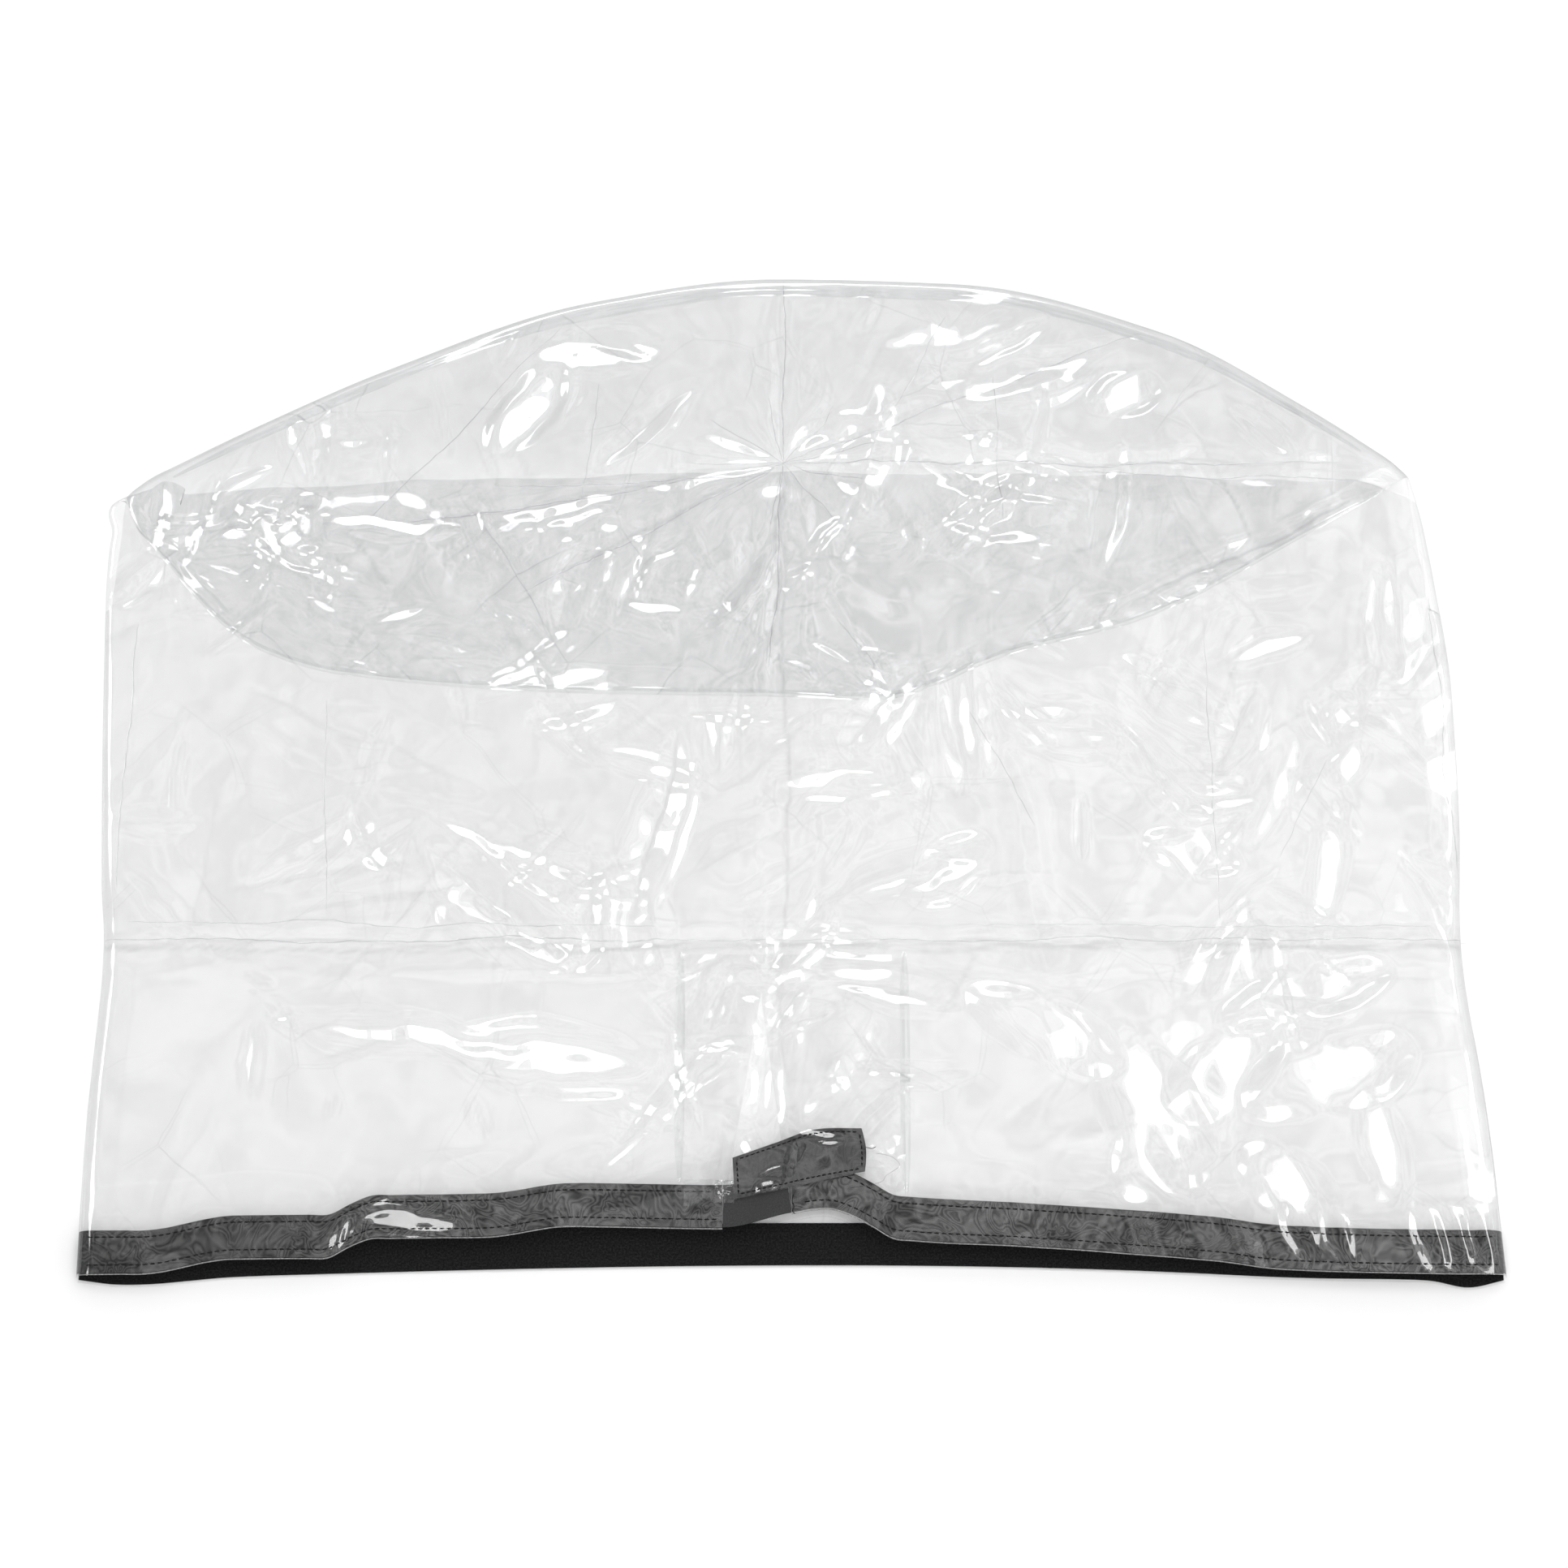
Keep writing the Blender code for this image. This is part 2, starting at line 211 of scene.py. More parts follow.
top_arc = corner_to_corner(crown_points[over_chord(crown_points)], SEAM)
front_seam = corner_to_corner(crown_points[~over_chord(crown_points)], -SEAM)
back_hem = curve_through(*back_points[back_points[:, 1] < BACK_HEM_BELOW].T)
side = back_points[(back_points[:, 1] > SIDES_ABOVE) & (back_points[:, 1] < SIDES_BELOW)]
left_edge = curve_through(*side[side[:, 0] < LEFT_SIDE][:, ::-1].T)
right_edge = curve_through(*side[side[:, 0] > RIGHT_SIDE][:, ::-1].T)

tape_points = np.vstack([corners(name)[:, :2] for name in
                         ("left_hem_tape", "hook_tongue", "right_hem_tape")])
tape_low = tape_points[[tape_points[np.abs(tape_points[:, 0] - x) < 1e-4, 1].min() > y - 1e-4
                        for x, y in tape_points]]
tape_line = curve_through(*tape_low.T)     # lower edge of the front tape

wall = corners("front_wall")
WALL_RISE, WALL_BASE = np.polyfit(wall[:, 1], wall[:, 2], 1)
CREASE_Y = wall[:, 1].min()
hidden_fold = curve_through(*wall[wall[:, 1] > FOLD_ABOVE][:, :2].T)
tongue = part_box("hook_tongue")
SLIT_LEFT, SLIT_RIGHT = tongue[0][0], tongue[1][0]
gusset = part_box("gusset_panel")
GUSSET_LEFT, GUSSET_RIGHT, GUSSET_TOP = gusset[0][0], gusset[1][0], gusset[1][1]
skirt_points = corners("front_skirt")
slit_side = skirt_points[(skirt_points[:, 0] > SLIT_LEFT + 0.002)
                         & (skirt_points[:, 0] < SLIT_RIGHT - 0.002)
                         & (skirt_points[:, 1] < CREASE_Y - 0.02)]
SLIT_TOP = slit_side[np.argmax(slit_side[:, 1])][:2]
HEM_LEFT, HEM_RIGHT = left_edge(-0.31), right_edge(-0.31)


def front_hem(x):
    return tape_line(x) - HEM_LIP


def wall_height(y):
    """The front wall's plane."""
    return WALL_BASE + WALL_RISE * np.asarray(y, float) + FILM / 2


# ---- Wrinkles ----
def lattice_noise(x, y, cell, seed):
    """Smooth gradient noise, about -1 to 1, with features about one cell across."""
    rng = np.random.default_rng(seed)
    size = 64
    angles = rng.uniform(0.0, 2.0 * pi, (size, size))
    gx, gy = np.cos(angles), np.sin(angles)
    u, v = x / cell + 17.3, y / cell + 31.7
    i, j = np.floor(u).astype(int), np.floor(v).astype(int)
    fu, fv = u - i, v - j
    su, sv = fu**3 * (fu * (6 * fu - 15) + 10), fv**3 * (fv * (6 * fv - 15) + 10)

    def corner(di, dj):
        a, b = (i + di) % size, (j + dj) % size
        return gx[a, b] * (fu - di) + gy[a, b] * (fv - dj)

    low = between(corner(0, 0), corner(1, 0), su)
    high = between(corner(0, 1), corner(1, 1), su)
    return 1.5 * between(low, high, sv)


def soft_abs(distance, radius):
    return np.sqrt(distance**2 + radius**2) - radius


def warped(start, x, y, seed):
    """A coordinate moved a little by slow and by quick noise."""
    slow = 5 * MM * lattice_noise(x, y, 60 * MM, seed)
    return start + slow + 1.2 * MM * lattice_noise(x, y, 14 * MM, seed + 1)


class Relief:
    """Wrinkles over a sheet: their height, and how sharply the film is creased, which the film's
    material paints as shade along the creases. Creases are drawn on slightly warped coordinates,
    so that none is quite straight."""

    def __init__(self, x, y, seed):
        self.x, self.y = x, y
        self.u = warped(x, x, y, seed)
        self.v = warped(y, x, y, seed + 2)
        self.height = np.zeros_like(x)
        self.crease = np.zeros_like(x)

    def waves(self, *sets, weight=1.0):
        """Gentle waves. Each set has its cell and height in mm and its seed."""
        for cell, height, seed in sets:
            self.height += weight * height * MM * lattice_noise(self.x, self.y, cell * MM, seed)

    def fold(self, cx, cy, angle, length, width, near_slope, far_slope=None, mark=0.5):
        """One crease. The film rises to both sides of it by its own slope, or falls if that
        is negative, and levels out again at the end of the fold's window."""
        far_slope = near_slope if far_slope is None else far_slope
        c, s = cos(angle), sin(angle)
        along = (self.u - cx) * c + (self.v - cy) * s
        across = -(self.u - cx) * s + (self.v - cy) * c
        reach = (along / length) ** 2 + (across / width) ** 2
        near = reach < 1.0
        window = (1.0 - reach[near] ** 2) ** 2
        side = across[near]
        ridge = soft_abs(side, 1.0 * MM)
        rise = near_slope * (ridge - side) / 2 + far_slope * (ridge + side) / 2
        self.height[near] += window * (rise - 0.17 * width * (near_slope + far_slope))
        # Painted shade along the crease line, as strong as mark.
        line = np.exp(-(side / (1.2 * MM)) ** 2)
        self.crease[near] = np.maximum(self.crease[near], mark * window * line)

    def crumple(self, *areas):
        """Random creases over areas. Each area has its number of creases, their usual length
        in mm and their slope, a seed, and its box: two limits of x and two of y."""
        for count, size, slope, seed, low_x, high_x, low_y, high_y in areas:
            rng = np.random.default_rng(seed)
            for _ in range(count):
                cx, cy = rng.uniform(low_x, high_x), rng.uniform(low_y, high_y)
                turn = rng.uniform(-pi, pi) / 2
                length = size * MM * rng.uniform(0.5, 1.5)
                width = length * rng.uniform(0.15, 0.6)
                tilt = slope * rng.uniform(0.4, 1.0) * rng.choice((-1.0, 1.0))
                other = tilt * rng.uniform(0.2, 1.0)
                self.fold(cx, cy, turn, length, width, tilt, other, mark=0.3 * abs(tilt) / slope)

    def bulge(self, lean, *patches):
        """Smooth patches that lean by two slopes, plus what the camera's nearness adds away
        from the middle of the frame. Each patch has its middle's x and y, its turn, and its
        half length and half width in mm."""
        for cx, cy, angle, length, width in patches:
            c, s = cos(angle), sin(angle)
            dx, dy = self.u - cx, self.v - cy
            along, across = (dx * c + dy * s) / (length * MM), (-dx * s + dy * c) / (width * MM)
            reach = along**2 + across**2
            near = reach < 1.0
            rise = (lean[0] + cx / NEARNESS) * dx[near] + (lean[1] + cy / NEARNESS) * dy[near]
            self.height[near] += (1.0 - reach[near] ** 2) ** 2 * rise

    def star(self, cx, cy, radius, height, arms, seed):
        """Wrinkles that run out from one point."""
        rng = np.random.default_rng(seed)
        dx, dy = self.u - cx, self.v - cy
        r, turn = np.hypot(dx, dy), np.arctan2(dy, dx)
        ripple = sum(rng.uniform(0.4, 1.0) * np.cos(n * turn + rng.uniform(0, 6.3))
                     for n in range(3, arms)) / sqrt(arms)
        fade = (r / radius) * np.exp(-((r / radius) ** 2) * 1.5)
        self.height += height * ripple * fade


def add_object(name, data):
    obj = bpy.data.objects.new(name, data)
    scene.collection.objects.link(obj)
    return obj


def add_mesh(name, verts, faces, mat, crease=None):
    mesh = bpy.data.meshes.new(name)
    mesh.from_pydata([tuple(v) for v in verts], [], faces)
    # The crease attribute: how strong the painted shade is, along creases and over the crown.
    if crease is not None:
        layer = mesh.attributes.new("crease", "FLOAT", "POINT")
        layer.data.foreach_set("value", np.asarray(crease, np.float32).ravel())
    mesh.polygons.foreach_set("use_smooth", [True] * len(mesh.polygons))
    mesh.materials.append(mat)
    mesh.update()
    return add_object(name, mesh)


def grid_faces(rows, columns):
    i, j = np.meshgrid(np.arange(rows - 1), np.arange(columns - 1), indexing="ij")
    first = (i * columns + j).ravel()
    return np.stack((first, first + 1, first + columns + 1, first + columns), axis=1).tolist()


def grid_sheet(name, mat, x, y, z, crease=None):
    """A sheet from arrays of coordinates, one row of the arrays for each row of points."""
    verts = np.stack((x.ravel(), y.ravel(), z.ravel()), axis=1)
    return add_mesh(name, verts, grid_faces(*x.shape), mat, crease)


def steps(length, spacing=GRID):
    return max(3, int(round(length / spacing)) + 1)


def shares(length, spacing=GRID):
    """From 0 to 1 in steps that are as far apart as the spacing over this length."""
    return np.linspace(0.0, 1.0, steps(length, spacing))


def fold_steps():
    """Places from 0 to 1 across a side fold, close together where it turns."""
    turn = np.linspace(0.0, pi / 2, 9)
    return 1.0 - np.cos(turn)


def across(left, right, fold_left=True, fold_right=True):
    """Columns between two edges: shares of the width, for rows that all span it."""
    width = right - left
    part = SIDE_FOLD / width
    start = fold_steps() * part if fold_left else np.array([0.0])
    stop = 1.0 - (fold_steps() * part)[::-1] if fold_right else np.array([1.0])
    middle = np.linspace(start[-1], stop[0], steps(width * (stop[0] - start[-1])))
    return np.concatenate((start[:-1], middle, stop[1:]))


def edge_rise(x, y):
    """0 at the cover's side edges and 1 where the front wall is clear of the side fold,
    which is as wide as the cover is thick."""
    inside = np.minimum(x - left_edge(y), right_edge(y) - x)
    part = unit(1.0 - inside / np.clip(0.8 * wall_height(y), 3 * MM, SIDE_FOLD))
    return np.sqrt(1.0 - part**2.5)


def smooth_step(value, start, stop):
    part = unit((value - start) / (stop - start))
    return part * part * (3 - 2 * part)


def near_hem(y, hem):
    """1 on the tape, falling to 0 well above it."""
    return 1.0 - smooth_step(y - hem, TAPE_WIDTH, TAPE_WIDTH + 30 * MM)


# ---- Materials ----
class Graph:
    """The nodes of a material or of the world."""

    def __init__(self, tree):
        self.tree = tree

    def put(self, socket, value):
        """Gives a socket a value, or links another node's output to it."""
        if isinstance(value, bpy.types.NodeSocket):
            self.tree.links.new(value, socket)
        else:
            socket.default_value = value

    def add(self, kind, settings=None, **sockets):
        """A new node. A socket's name is written here with _ for each space."""
        made = self.tree.nodes.new("ShaderNode" + kind)
        for name, value in (settings or {}).items():
            setattr(made, name, value)
        for name, value in sockets.items():
            self.put(made.inputs[name.replace("_", " ")], value)
        return made

    def math(self, operation, first, second, use_clamp=False):
        made = self.add("Math", {"operation": operation, "use_clamp": use_clamp})
        self.put(made.inputs[0], first)
        self.put(made.inputs[1], second)
        return made.outputs["Value"]

    def noise(self, place, scale, **sockets):
        return self.add("TexNoise", Scale=scale, Vector=place, **sockets).outputs["Fac"]

    def remap(self, value, **sockets):
        return self.add("MapRange", Value=value, **sockets).outputs["Result"]

    def mix(self, factor, first, second):
        made = self.add("Mix", {"data_type": "RGBA"}, Factor=factor, A=first, B=second)
        return made.outputs["Result"]

    def ramp(self, factor, dark, light, start=0.0, stop=1.0):
        made = self.add("ValToRGB", Fac=factor)
        low, high = made.color_ramp.elements
        low.position, high.position = start, stop
        low.color, high.color = (*dark, 1.0), (*light, 1.0)
        return made.outputs["Color"]

    def bump(self, height, strength, distance):
        made = self.add("Bump", Strength=strength, Distance=distance, Height=height)
        return made.outputs["Normal"]


def new_material(name):
    """A material with no nodes yet but the object's coordinates."""
    mat = bpy.data.materials.new(name)
    mat.use_nodes = True
    mat.node_tree.nodes.clear()
    graph = Graph(mat.node_tree)
    return mat, graph, graph.add("TexCoord").outputs["Object"]


def film_material(name, tint, dark, roughness):
    """Clear glossy film: it shows what is behind it and reflects more the flatter it is seen.
    What shows through is darkened by painted shade along creases, along a net of fine lines
    and where the film is seen edge-on."""
    mat, graph, place = new_material(name)
    wobble = graph.add("TexNoise", Scale=9.0, Detail=4.0, Vector=place).outputs["Color"]
    bent = graph.add("Mix", {"data_type": "VECTOR"}, Factor=0.03, A=place, B=wobble)
    # Painted shade: a net of fine dark lines, in patches.
    fine_line_net = graph.add("TexVoronoi", {"feature": "DISTANCE_TO_EDGE"}, Scale=17.0,
                       Vector=bent.outputs["Result"])
    thin = graph.remap(fine_line_net.outputs["Distance"], From_Max=0.010, To_Min=1.0, To_Max=0.0)
    where = graph.remap(graph.noise(place, 14.0, Detail=3.0), From_Min=0.46, From_Max=0.62)
    fine = graph.math("MULTIPLY", graph.math("MULTIPLY", thin, where), 0.30)
    # Painted shade along creases, from the crease attribute, and where the film is seen edge-on.
    creased = graph.add("Attribute", {"attribute_name": "crease"}).outputs["Fac"]
    edge_on_shade = graph.add("LayerWeight", Blend=0.5).outputs["Facing"]
    painted_shade = graph.math("ADD", graph.math("ADD", creased, fine), edge_on_shade, use_clamp=True)
    normal = graph.bump(graph.noise(place, 42.0, Detail=2.0), 0.35, 0.0003)
    facing = graph.add("LayerWeight", Blend=0.5, Normal=normal).outputs["Facing"]
    mirror = graph.remap(graph.math("POWER", facing, 5.0), To_Min=0.08)
    clear = graph.add("BsdfTransparent", Color=graph.mix(painted_shade, (*tint, 1.0), (*dark, 1.0)))
    gloss = graph.add("BsdfGlossy", Roughness=roughness, Normal=normal)
    both = graph.add("MixShader", Fac=mirror)
    graph.put(both.inputs[1], clear.outputs["BSDF"])
    graph.put(both.inputs[2], gloss.outputs["BSDF"])
    graph.add("OutputMaterial", Surface=both.outputs["Shader"])
    return mat


def with_painted_reflection(graph, place, colour, pale):
    """The colour with a painted reflection over it: paler contour lines, as on a map."""
    hills = graph.noise(place, 38.0, Detail=2.0, Distortion=0.9)
    lines = graph.math("PINGPONG", graph.math("MULTIPLY", hills, 17.0), 0.5)
    reflection_amount = graph.math("MULTIPLY", lines, graph.noise(place, 11.0))
    return graph.mix(graph.remap(reflection_amount, From_Min=0.02, From_Max=0.32), colour, (*pale, 1.0))


def cloth_material(name, dark, light, scale, roughness, bump_depth, sheen=0.0, reflection_colour=None):
    """Woven or looped tape: a noisy pile or weave in two close tones. The reflection colour, if given,
    is a painted reflection: paler marbling where film clings to it."""
    mat, graph, place = new_material(name)
    pile = graph.noise(place, scale, Detail=4.0)
    colour = graph.ramp(pile, dark, light, 0.40, 0.72)
    if reflection_colour:
        colour = with_painted_reflection(graph, place, colour, reflection_colour)
    shader = graph.add("BsdfPrincipled", Base_Color=colour, Roughness=roughness,
                       Specular_IOR_Level=0.2, Sheen_Weight=sheen,
                       Normal=graph.bump(pile, 0.8, bump_depth))
    graph.add("OutputMaterial", Surface=shader.outputs["BSDF"])
    return mat


def stage_material(name, kind, scale, dark, light):
    """Near-white for what the cover lies on and stands before."""
    mat, graph, place = new_material(name)
    shader = graph.add(kind, Color=graph.ramp(graph.noise(place, scale), dark, light))
    graph.add("OutputMaterial", Surface=shader.outputs[0])
    return mat


# Copies of one clear film in different tints, as painted light: the crown's copy and the almost clear turned-under
# copy are lighter, so that where film lies in several layers it is not too dark.
FILM_MAT = film_material("clear_film", (0.925, 0.926, 0.926), (0.72, 0.72, 0.73), 0.03)
CROWN_MAT = film_material("crown_film", (0.955, 0.957, 0.963), (0.60, 0.60, 0.61), 0.03)
UNDER_MAT = film_material("turned_under_film", (0.997, 0.997, 0.997), (0.84, 0.84, 0.85), 0.03)
# Darker film for thin strips of painted shade along creases.
CREASE_SHADE_MAT = film_material("crease_shade_film", (0.80, 0.80, 0.81), (0.60, 0.60, 0.61), 0.15)
WELD_MAT = film_material("welded_film", (0.95, 0.955, 0.955), (0.45, 0.46, 0.47), 0.06)
LOOP_MAT = cloth_material("loop_tape", (0.0012, 0.0012, 0.0014), (0.016, 0.016, 0.017), 950.0, 1.0,
                          0.0006, sheen=0.02)
HOOK_MAT = cloth_material("hook_tape", (0.026, 0.026, 0.027), (0.044, 0.044, 0.046), 1700.0, 0.8, 0.0001)
THREAD_MAT = cloth_material("thread", (0.002, 0.002, 0.002), (0.012, 0.012, 0.013), 2500.0, 0.7, 0.0001)
# Painted highlight: an opaque grey standing in for the light on the clear film's lip below the front tape.
LIP_HIGHLIGHT_MAT = cloth_material("film_lip_highlight", (0.16, 0.16, 0.16), (0.36, 0.36, 0.36), 900.0, 0.4, 0.00005)
# Painted reflection: the film over the hem tape and the tab shows as paler marbling.
TAPE_MAT = cloth_material("film_covered_tape", (0.010, 0.010, 0.010), (0.024, 0.024, 0.025), 1700.0, 0.9,
                          0.0001, reflection_colour=(0.105, 0.105, 0.103))
TAB_MAT = cloth_material("film_covered_tab", (0.018, 0.018, 0.018), (0.032, 0.032, 0.033), 1700.0, 0.9,
                         0.0001, reflection_colour=(0.055, 0.055, 0.056))


# ---- Film ----
HEM_STACK = 2 * TAPE + 0.9 * MM       # tape on tape at the cover's side edges
HEM_STACK_Y = -0.200                  # where the film begins to rise to it, and how far that takes
HEM_STACK_RUN = 50 * MM
HEM_CALM = 0.86                       # of a wrinkle's height that the tape takes away
TAB_MIDDLE = (0.005, -0.25)           # round which the film lies flat under the tab
DEEPEST = 0.8                         # of the room below the front that a wrinkle dips into
HIGHEST = 9.0 * MM                    # that a wrinkle stands over the front wall's plane
CLEARANCE = 0.4 * MM                  # of one sheet of film over another
LEFT, RIGHT = -0.42, 0.42             # the cover's sides, for placing wrinkles
LEAN_LEFT, LEAN_NEAR = (-0.25, 0.05), (0.02, -0.25)       # slopes that catch two of the lights


def back_z(x, y):
    relief = Relief(x, y, 120)
    relief.waves((120, 0.9, 21), (45, 0.4, 22))
    relief.crumple((60, 45, 0.08, 23, LEFT, RIGHT, -0.31, 0.32))
    relief.fold(0.0, CREASE_Y, 0.0, 0.62, 25 * MM, 0.06, mark=0.6)
    hem = 1.0 - near_hem(y, back_hem(x))
    from_edge = np.minimum(np.minimum(x - left_edge(y), right_edge(y) - x), top_arc(x) - y)
    inside = unit(from_edge / (20 * MM))
    lift = relief.height + 0.7 * MM
    soft = 0.5 * (lift + np.sqrt(lift**2 + (0.5 * MM) ** 2))
    return REST + soft * hem * inside, relief.crease


def front_relief(x, y):
    """The wrinkles of the front, roughly where the photo has them."""
    relief = Relief(x, y, 110)
    upper = smooth_step(y, CREASE_Y - 0.02, CREASE_Y + 0.02)
    lower_right = smooth_step(x, 0.06, 0.16) * (1.0 - smooth_step(y, -0.16, -0.09))
    lower_right *= 1.0 - 0.9 * smooth_step(x, 0.30, 0.38)
    relief.waves((190, 4.0, 11), (75, 1.2, 12), (34, 0.30, 13))
    relief.waves((120, 6.0, 19), (50, 1.4, 20), weight=lower_right)
    relief.waves((26, 0.35, 17), weight=upper)
    # Upper part: packing creases and crumpled facets.
    relief.crumple(
        (40, 70, 0.09, 14, LEFT, RIGHT, -0.11, 0.20), (56, 32, 0.30, 15, LEFT, RIGHT, -0.12, 0.12),
        (13, 36, 0.34, 16, -0.18, 0.06, -0.02, 0.10), (13, 36, 0.34, 18, -0.26, -0.04, -0.115, -0.04),
        (12, 36, 0.34, 24, 0.19, 0.40, -0.10, 0.08), (9, 30, 0.34, 28, -0.40, -0.30, 0.08, 0.18),
        (12, 24, 0.36, 29, -0.41, -0.34, 0.10, 0.17))
    # Lower part: folds above the slit, the long streak to the left and the patches on the
    # right, and after them a few patches of the upper part.
    relief.crumple(
        (24, 34, 0.36, 25, -0.095, 0.085, -0.235, -0.10), (7, 40, 0.34, 26, 0.20, 0.41, -0.16, -0.09),
        (8, 18, 0.30, 27, LEFT, -0.08, -0.26, -0.13))
    relief.bulge(LEAN_NEAR, (-0.232, -0.172, -0.13, 84, 14), (-0.142, -0.186, -0.14, 68, 26))
    relief.bulge(LEAN_LEFT, (0.155, -0.169, -0.50, 56, 24), (0.215, -0.215, -1.10, 60, 30),
                 (0.262, -0.195, 0.60, 46, 26), (0.218, -0.262, -1.40, 44, 26),
                 (0.322, -0.198, 0.30, 58, 26), (0.352, -0.240, -1.40, 44, 14),
                 (0.295, -0.262, -0.70, 40, 22), (0.312, -0.145, 0.30, 60, 20),
                 (0.245, -0.058, -0.30, 34, 15), (0.327, -0.070, 1.35, 54, 12))
    relief.bulge(LEAN_NEAR, (0.098, -0.068, 0.60, 34, 20), (0.045, -0.011, 0.00, 26, 9),
                 (0.297, 0.075, 0.30, 30, 10))
    relief.bulge(LEAN_LEFT, (0.345, 0.036, 1.20, 18, 12), (0.344, -0.003, 0.90, 18, 12))
    # The film levels out towards the lower right side, so that its edge shows.
    ramp = (x - 0.36 + np.hypot(x - 0.36, 20 * MM)) / 2
    level = smooth_step(y, -0.275, -0.245) * (1.0 - smooth_step(y, -0.185, -0.155))
    relief.height += 0.06 * ramp * level
    relief.fold(-0.080, -0.040, 1.35, 70 * MM, 22 * MM, 0.36, 0.20)
    relief.fold(0.0, CREASE_Y, 0.0, 0.62, 26 * MM, 0.08, 0.05, mark=0.6)
    relief.fold(0.0, CREASE_Y + 10 * MM, 0.0, 0.62, 14 * MM, -0.06, -0.03, mark=0.2)
    relief.fold(-0.003, 0.02, 1.571, 0.30, 22 * MM, 0.10, 0.08, mark=0.5)
    return relief


def front_z(x, y):
    relief = front_relief(x, y)
    rise = edge_rise(x, y)
    hem_part = unit((HEM_STACK_Y - y) / HEM_STACK_RUN)
    base_edge = REST + hem_part * HEM_STACK
    calm = 1.0 - HEM_CALM * near_hem(y, front_hem(x))
    tab_zone = np.exp(-(((x - TAB_MIDDLE[0]) / 0.055) ** 4) - (((y - TAB_MIDDLE[1]) / 0.030) ** 4))
    depth = DEEPEST * (wall_height(y) - REST)
    near_fold = smooth_step(y, hidden_fold(x) - 45 * MM, hidden_fold(x))
    height = relief.height * calm * rise * (1.0 - 0.6 * near_fold)
    height = np.where(height < 0.0, -depth * np.tanh(-height / depth), height)
    height = np.where(height > 0.0, HIGHEST * np.tanh(height / HIGHEST), height)
    height = between(height, np.minimum(height, 0.3 * MM), tab_zone)
    z = between(base_edge, wall_height(y), rise) + height + curl_height(x, y)
    return np.maximum(z, back_z(x, y)[0] + CLEARANCE), relief.crease * rise


def front_top(x, y):
    return front_z(x, y)[0]


def curl_height(x, y):
    """The steep curl where the left tape steps up, and small ripples along the hem."""
    curl = Relief(x, y, 160)
    hem = near_hem(y, front_hem(x))
    curl.waves((60, 1.7, 161), (24, 0.55, 162), (10, 0.10, 163), weight=hem)
    curl.fold(-0.266, front_hem(-0.266) + 12 * MM, 1.25, 14 * MM, 7 * MM, -0.70, -0.40, mark=0.0)
    curl.bulge(LEAN_NEAR, (-0.222, front_hem(-0.222) + 9 * MM, -0.1, 40, 15))
    for place in (0.300, 0.322, 0.378, 0.392, 0.408):
        curl.fold(place, -0.292, 1.9, 22 * MM, 9 * MM, 0.34, -0.20, mark=0.0)
    return curl.height * edge_rise(x, y)


def film_back():
    v = shares(0.63, 1.3 * GRID)[:, None]
    u = shares(0.85, 1.3 * GRID)
    hem_x = between(left_edge(-0.33), right_edge(-0.33), u)
    arc_x = part_of(top_arc, u)
    y = between(back_hem(hem_x), top_arc(arc_x), v)
    x = between(left_edge(y), right_edge(y), u)
    blend = unit((v - 0.75) / 0.25)
    x = x + blend * (arc_x - x) * (y > 0.10)
    return grid_sheet("film_back", FILM_MAT, x, y, *back_z(x, y))


def film_skirt(side):
    """The lifting part of the front, to one side of the slit."""
    left = side == "left"
    hem_start, hem_stop = (HEM_LEFT, SLIT_LEFT) if left else (SLIT_RIGHT, HEM_RIGHT)
    share = across(hem_start, hem_stop, left, not left)
    v = shares(0.19)[:, None]
    low = front_hem(0.0)
    y_slit = front_hem(hem_stop if left else hem_start) + v * (CREASE_Y - low)
    up = unit((y_slit - low) / (SLIT_TOP[1] - low))
    slit_x = (SLIT_LEFT if left else SLIT_RIGHT) * (1 - up) + SLIT_TOP[0] * up
    y = between(front_hem(between(hem_start, hem_stop, share)), CREASE_Y, v)
    x = between(left_edge(y) if left else slit_x, slit_x if left else right_edge(y), share)
    return grid_sheet(f"film_skirt_{side}", FILM_MAT, x, y, *front_z(x, y))


def film_front():
    """The front wall from the packing crease up to the hidden fold, and the part that is
    turned under there and comes back down to the front crown seam."""
    share = across(left_edge(0.0), right_edge(0.0))
    top_x = part_of(hidden_fold, share)
    fold_y = hidden_fold(top_x) - 3 * MM + 2 * MM * lattice_noise(top_x, 0 * top_x, 40 * MM, 190)
    up = shares(0.30)[:, None]
    y = between(CREASE_Y, fold_y, up)
    x = between(left_edge(y), right_edge(y), share)
    z, crease = front_z(x, y)
    front = grid_sheet("film_front", FILM_MAT, x, y, z, crease)
    seam_x = part_of(front_seam, share)
    down = shares(0.14)[:, None]
    y_down = between(fold_y, front_seam(seam_x), down)
    x_down = between(x[-1:], seam_x, down)
    z_down, crease_down = turned_z(x_down, y_down)
    turn = np.sin(unit(down / 0.16) * pi / 2)
    z_down = between(z[-1:], z_down, turn)
    return front, grid_sheet("film_turned_under", UNDER_MAT, x_down, y_down, z_down, crease_down)


def turned_z(x, y):
    """The film that is turned under the crown lies on the front."""
    relief = Relief(x, y, 130)
    relief.waves((60, 0.8, 31))
    relief.crumple((50, 45, 0.15, 32, -0.40, 0.38, 0.04, 0.19))
    lift = 0.7 * MM + np.maximum(relief.height, -0.35 * MM)
    return front_top(x, y) + lift, relief.crease


CROWN_SHADE = 0.23            # of the crown where it does not lie on the turned-under film
CROWN_MIDDLE = (-0.003, 0.196)
CROWN_CREASES = ((-0.27, 0.150), (0.345, 0.196), (-0.003, 0.320), (-0.012, 0.060),
                 (-0.165, 0.110), (0.225, 0.285))     # where its creases from the middle end


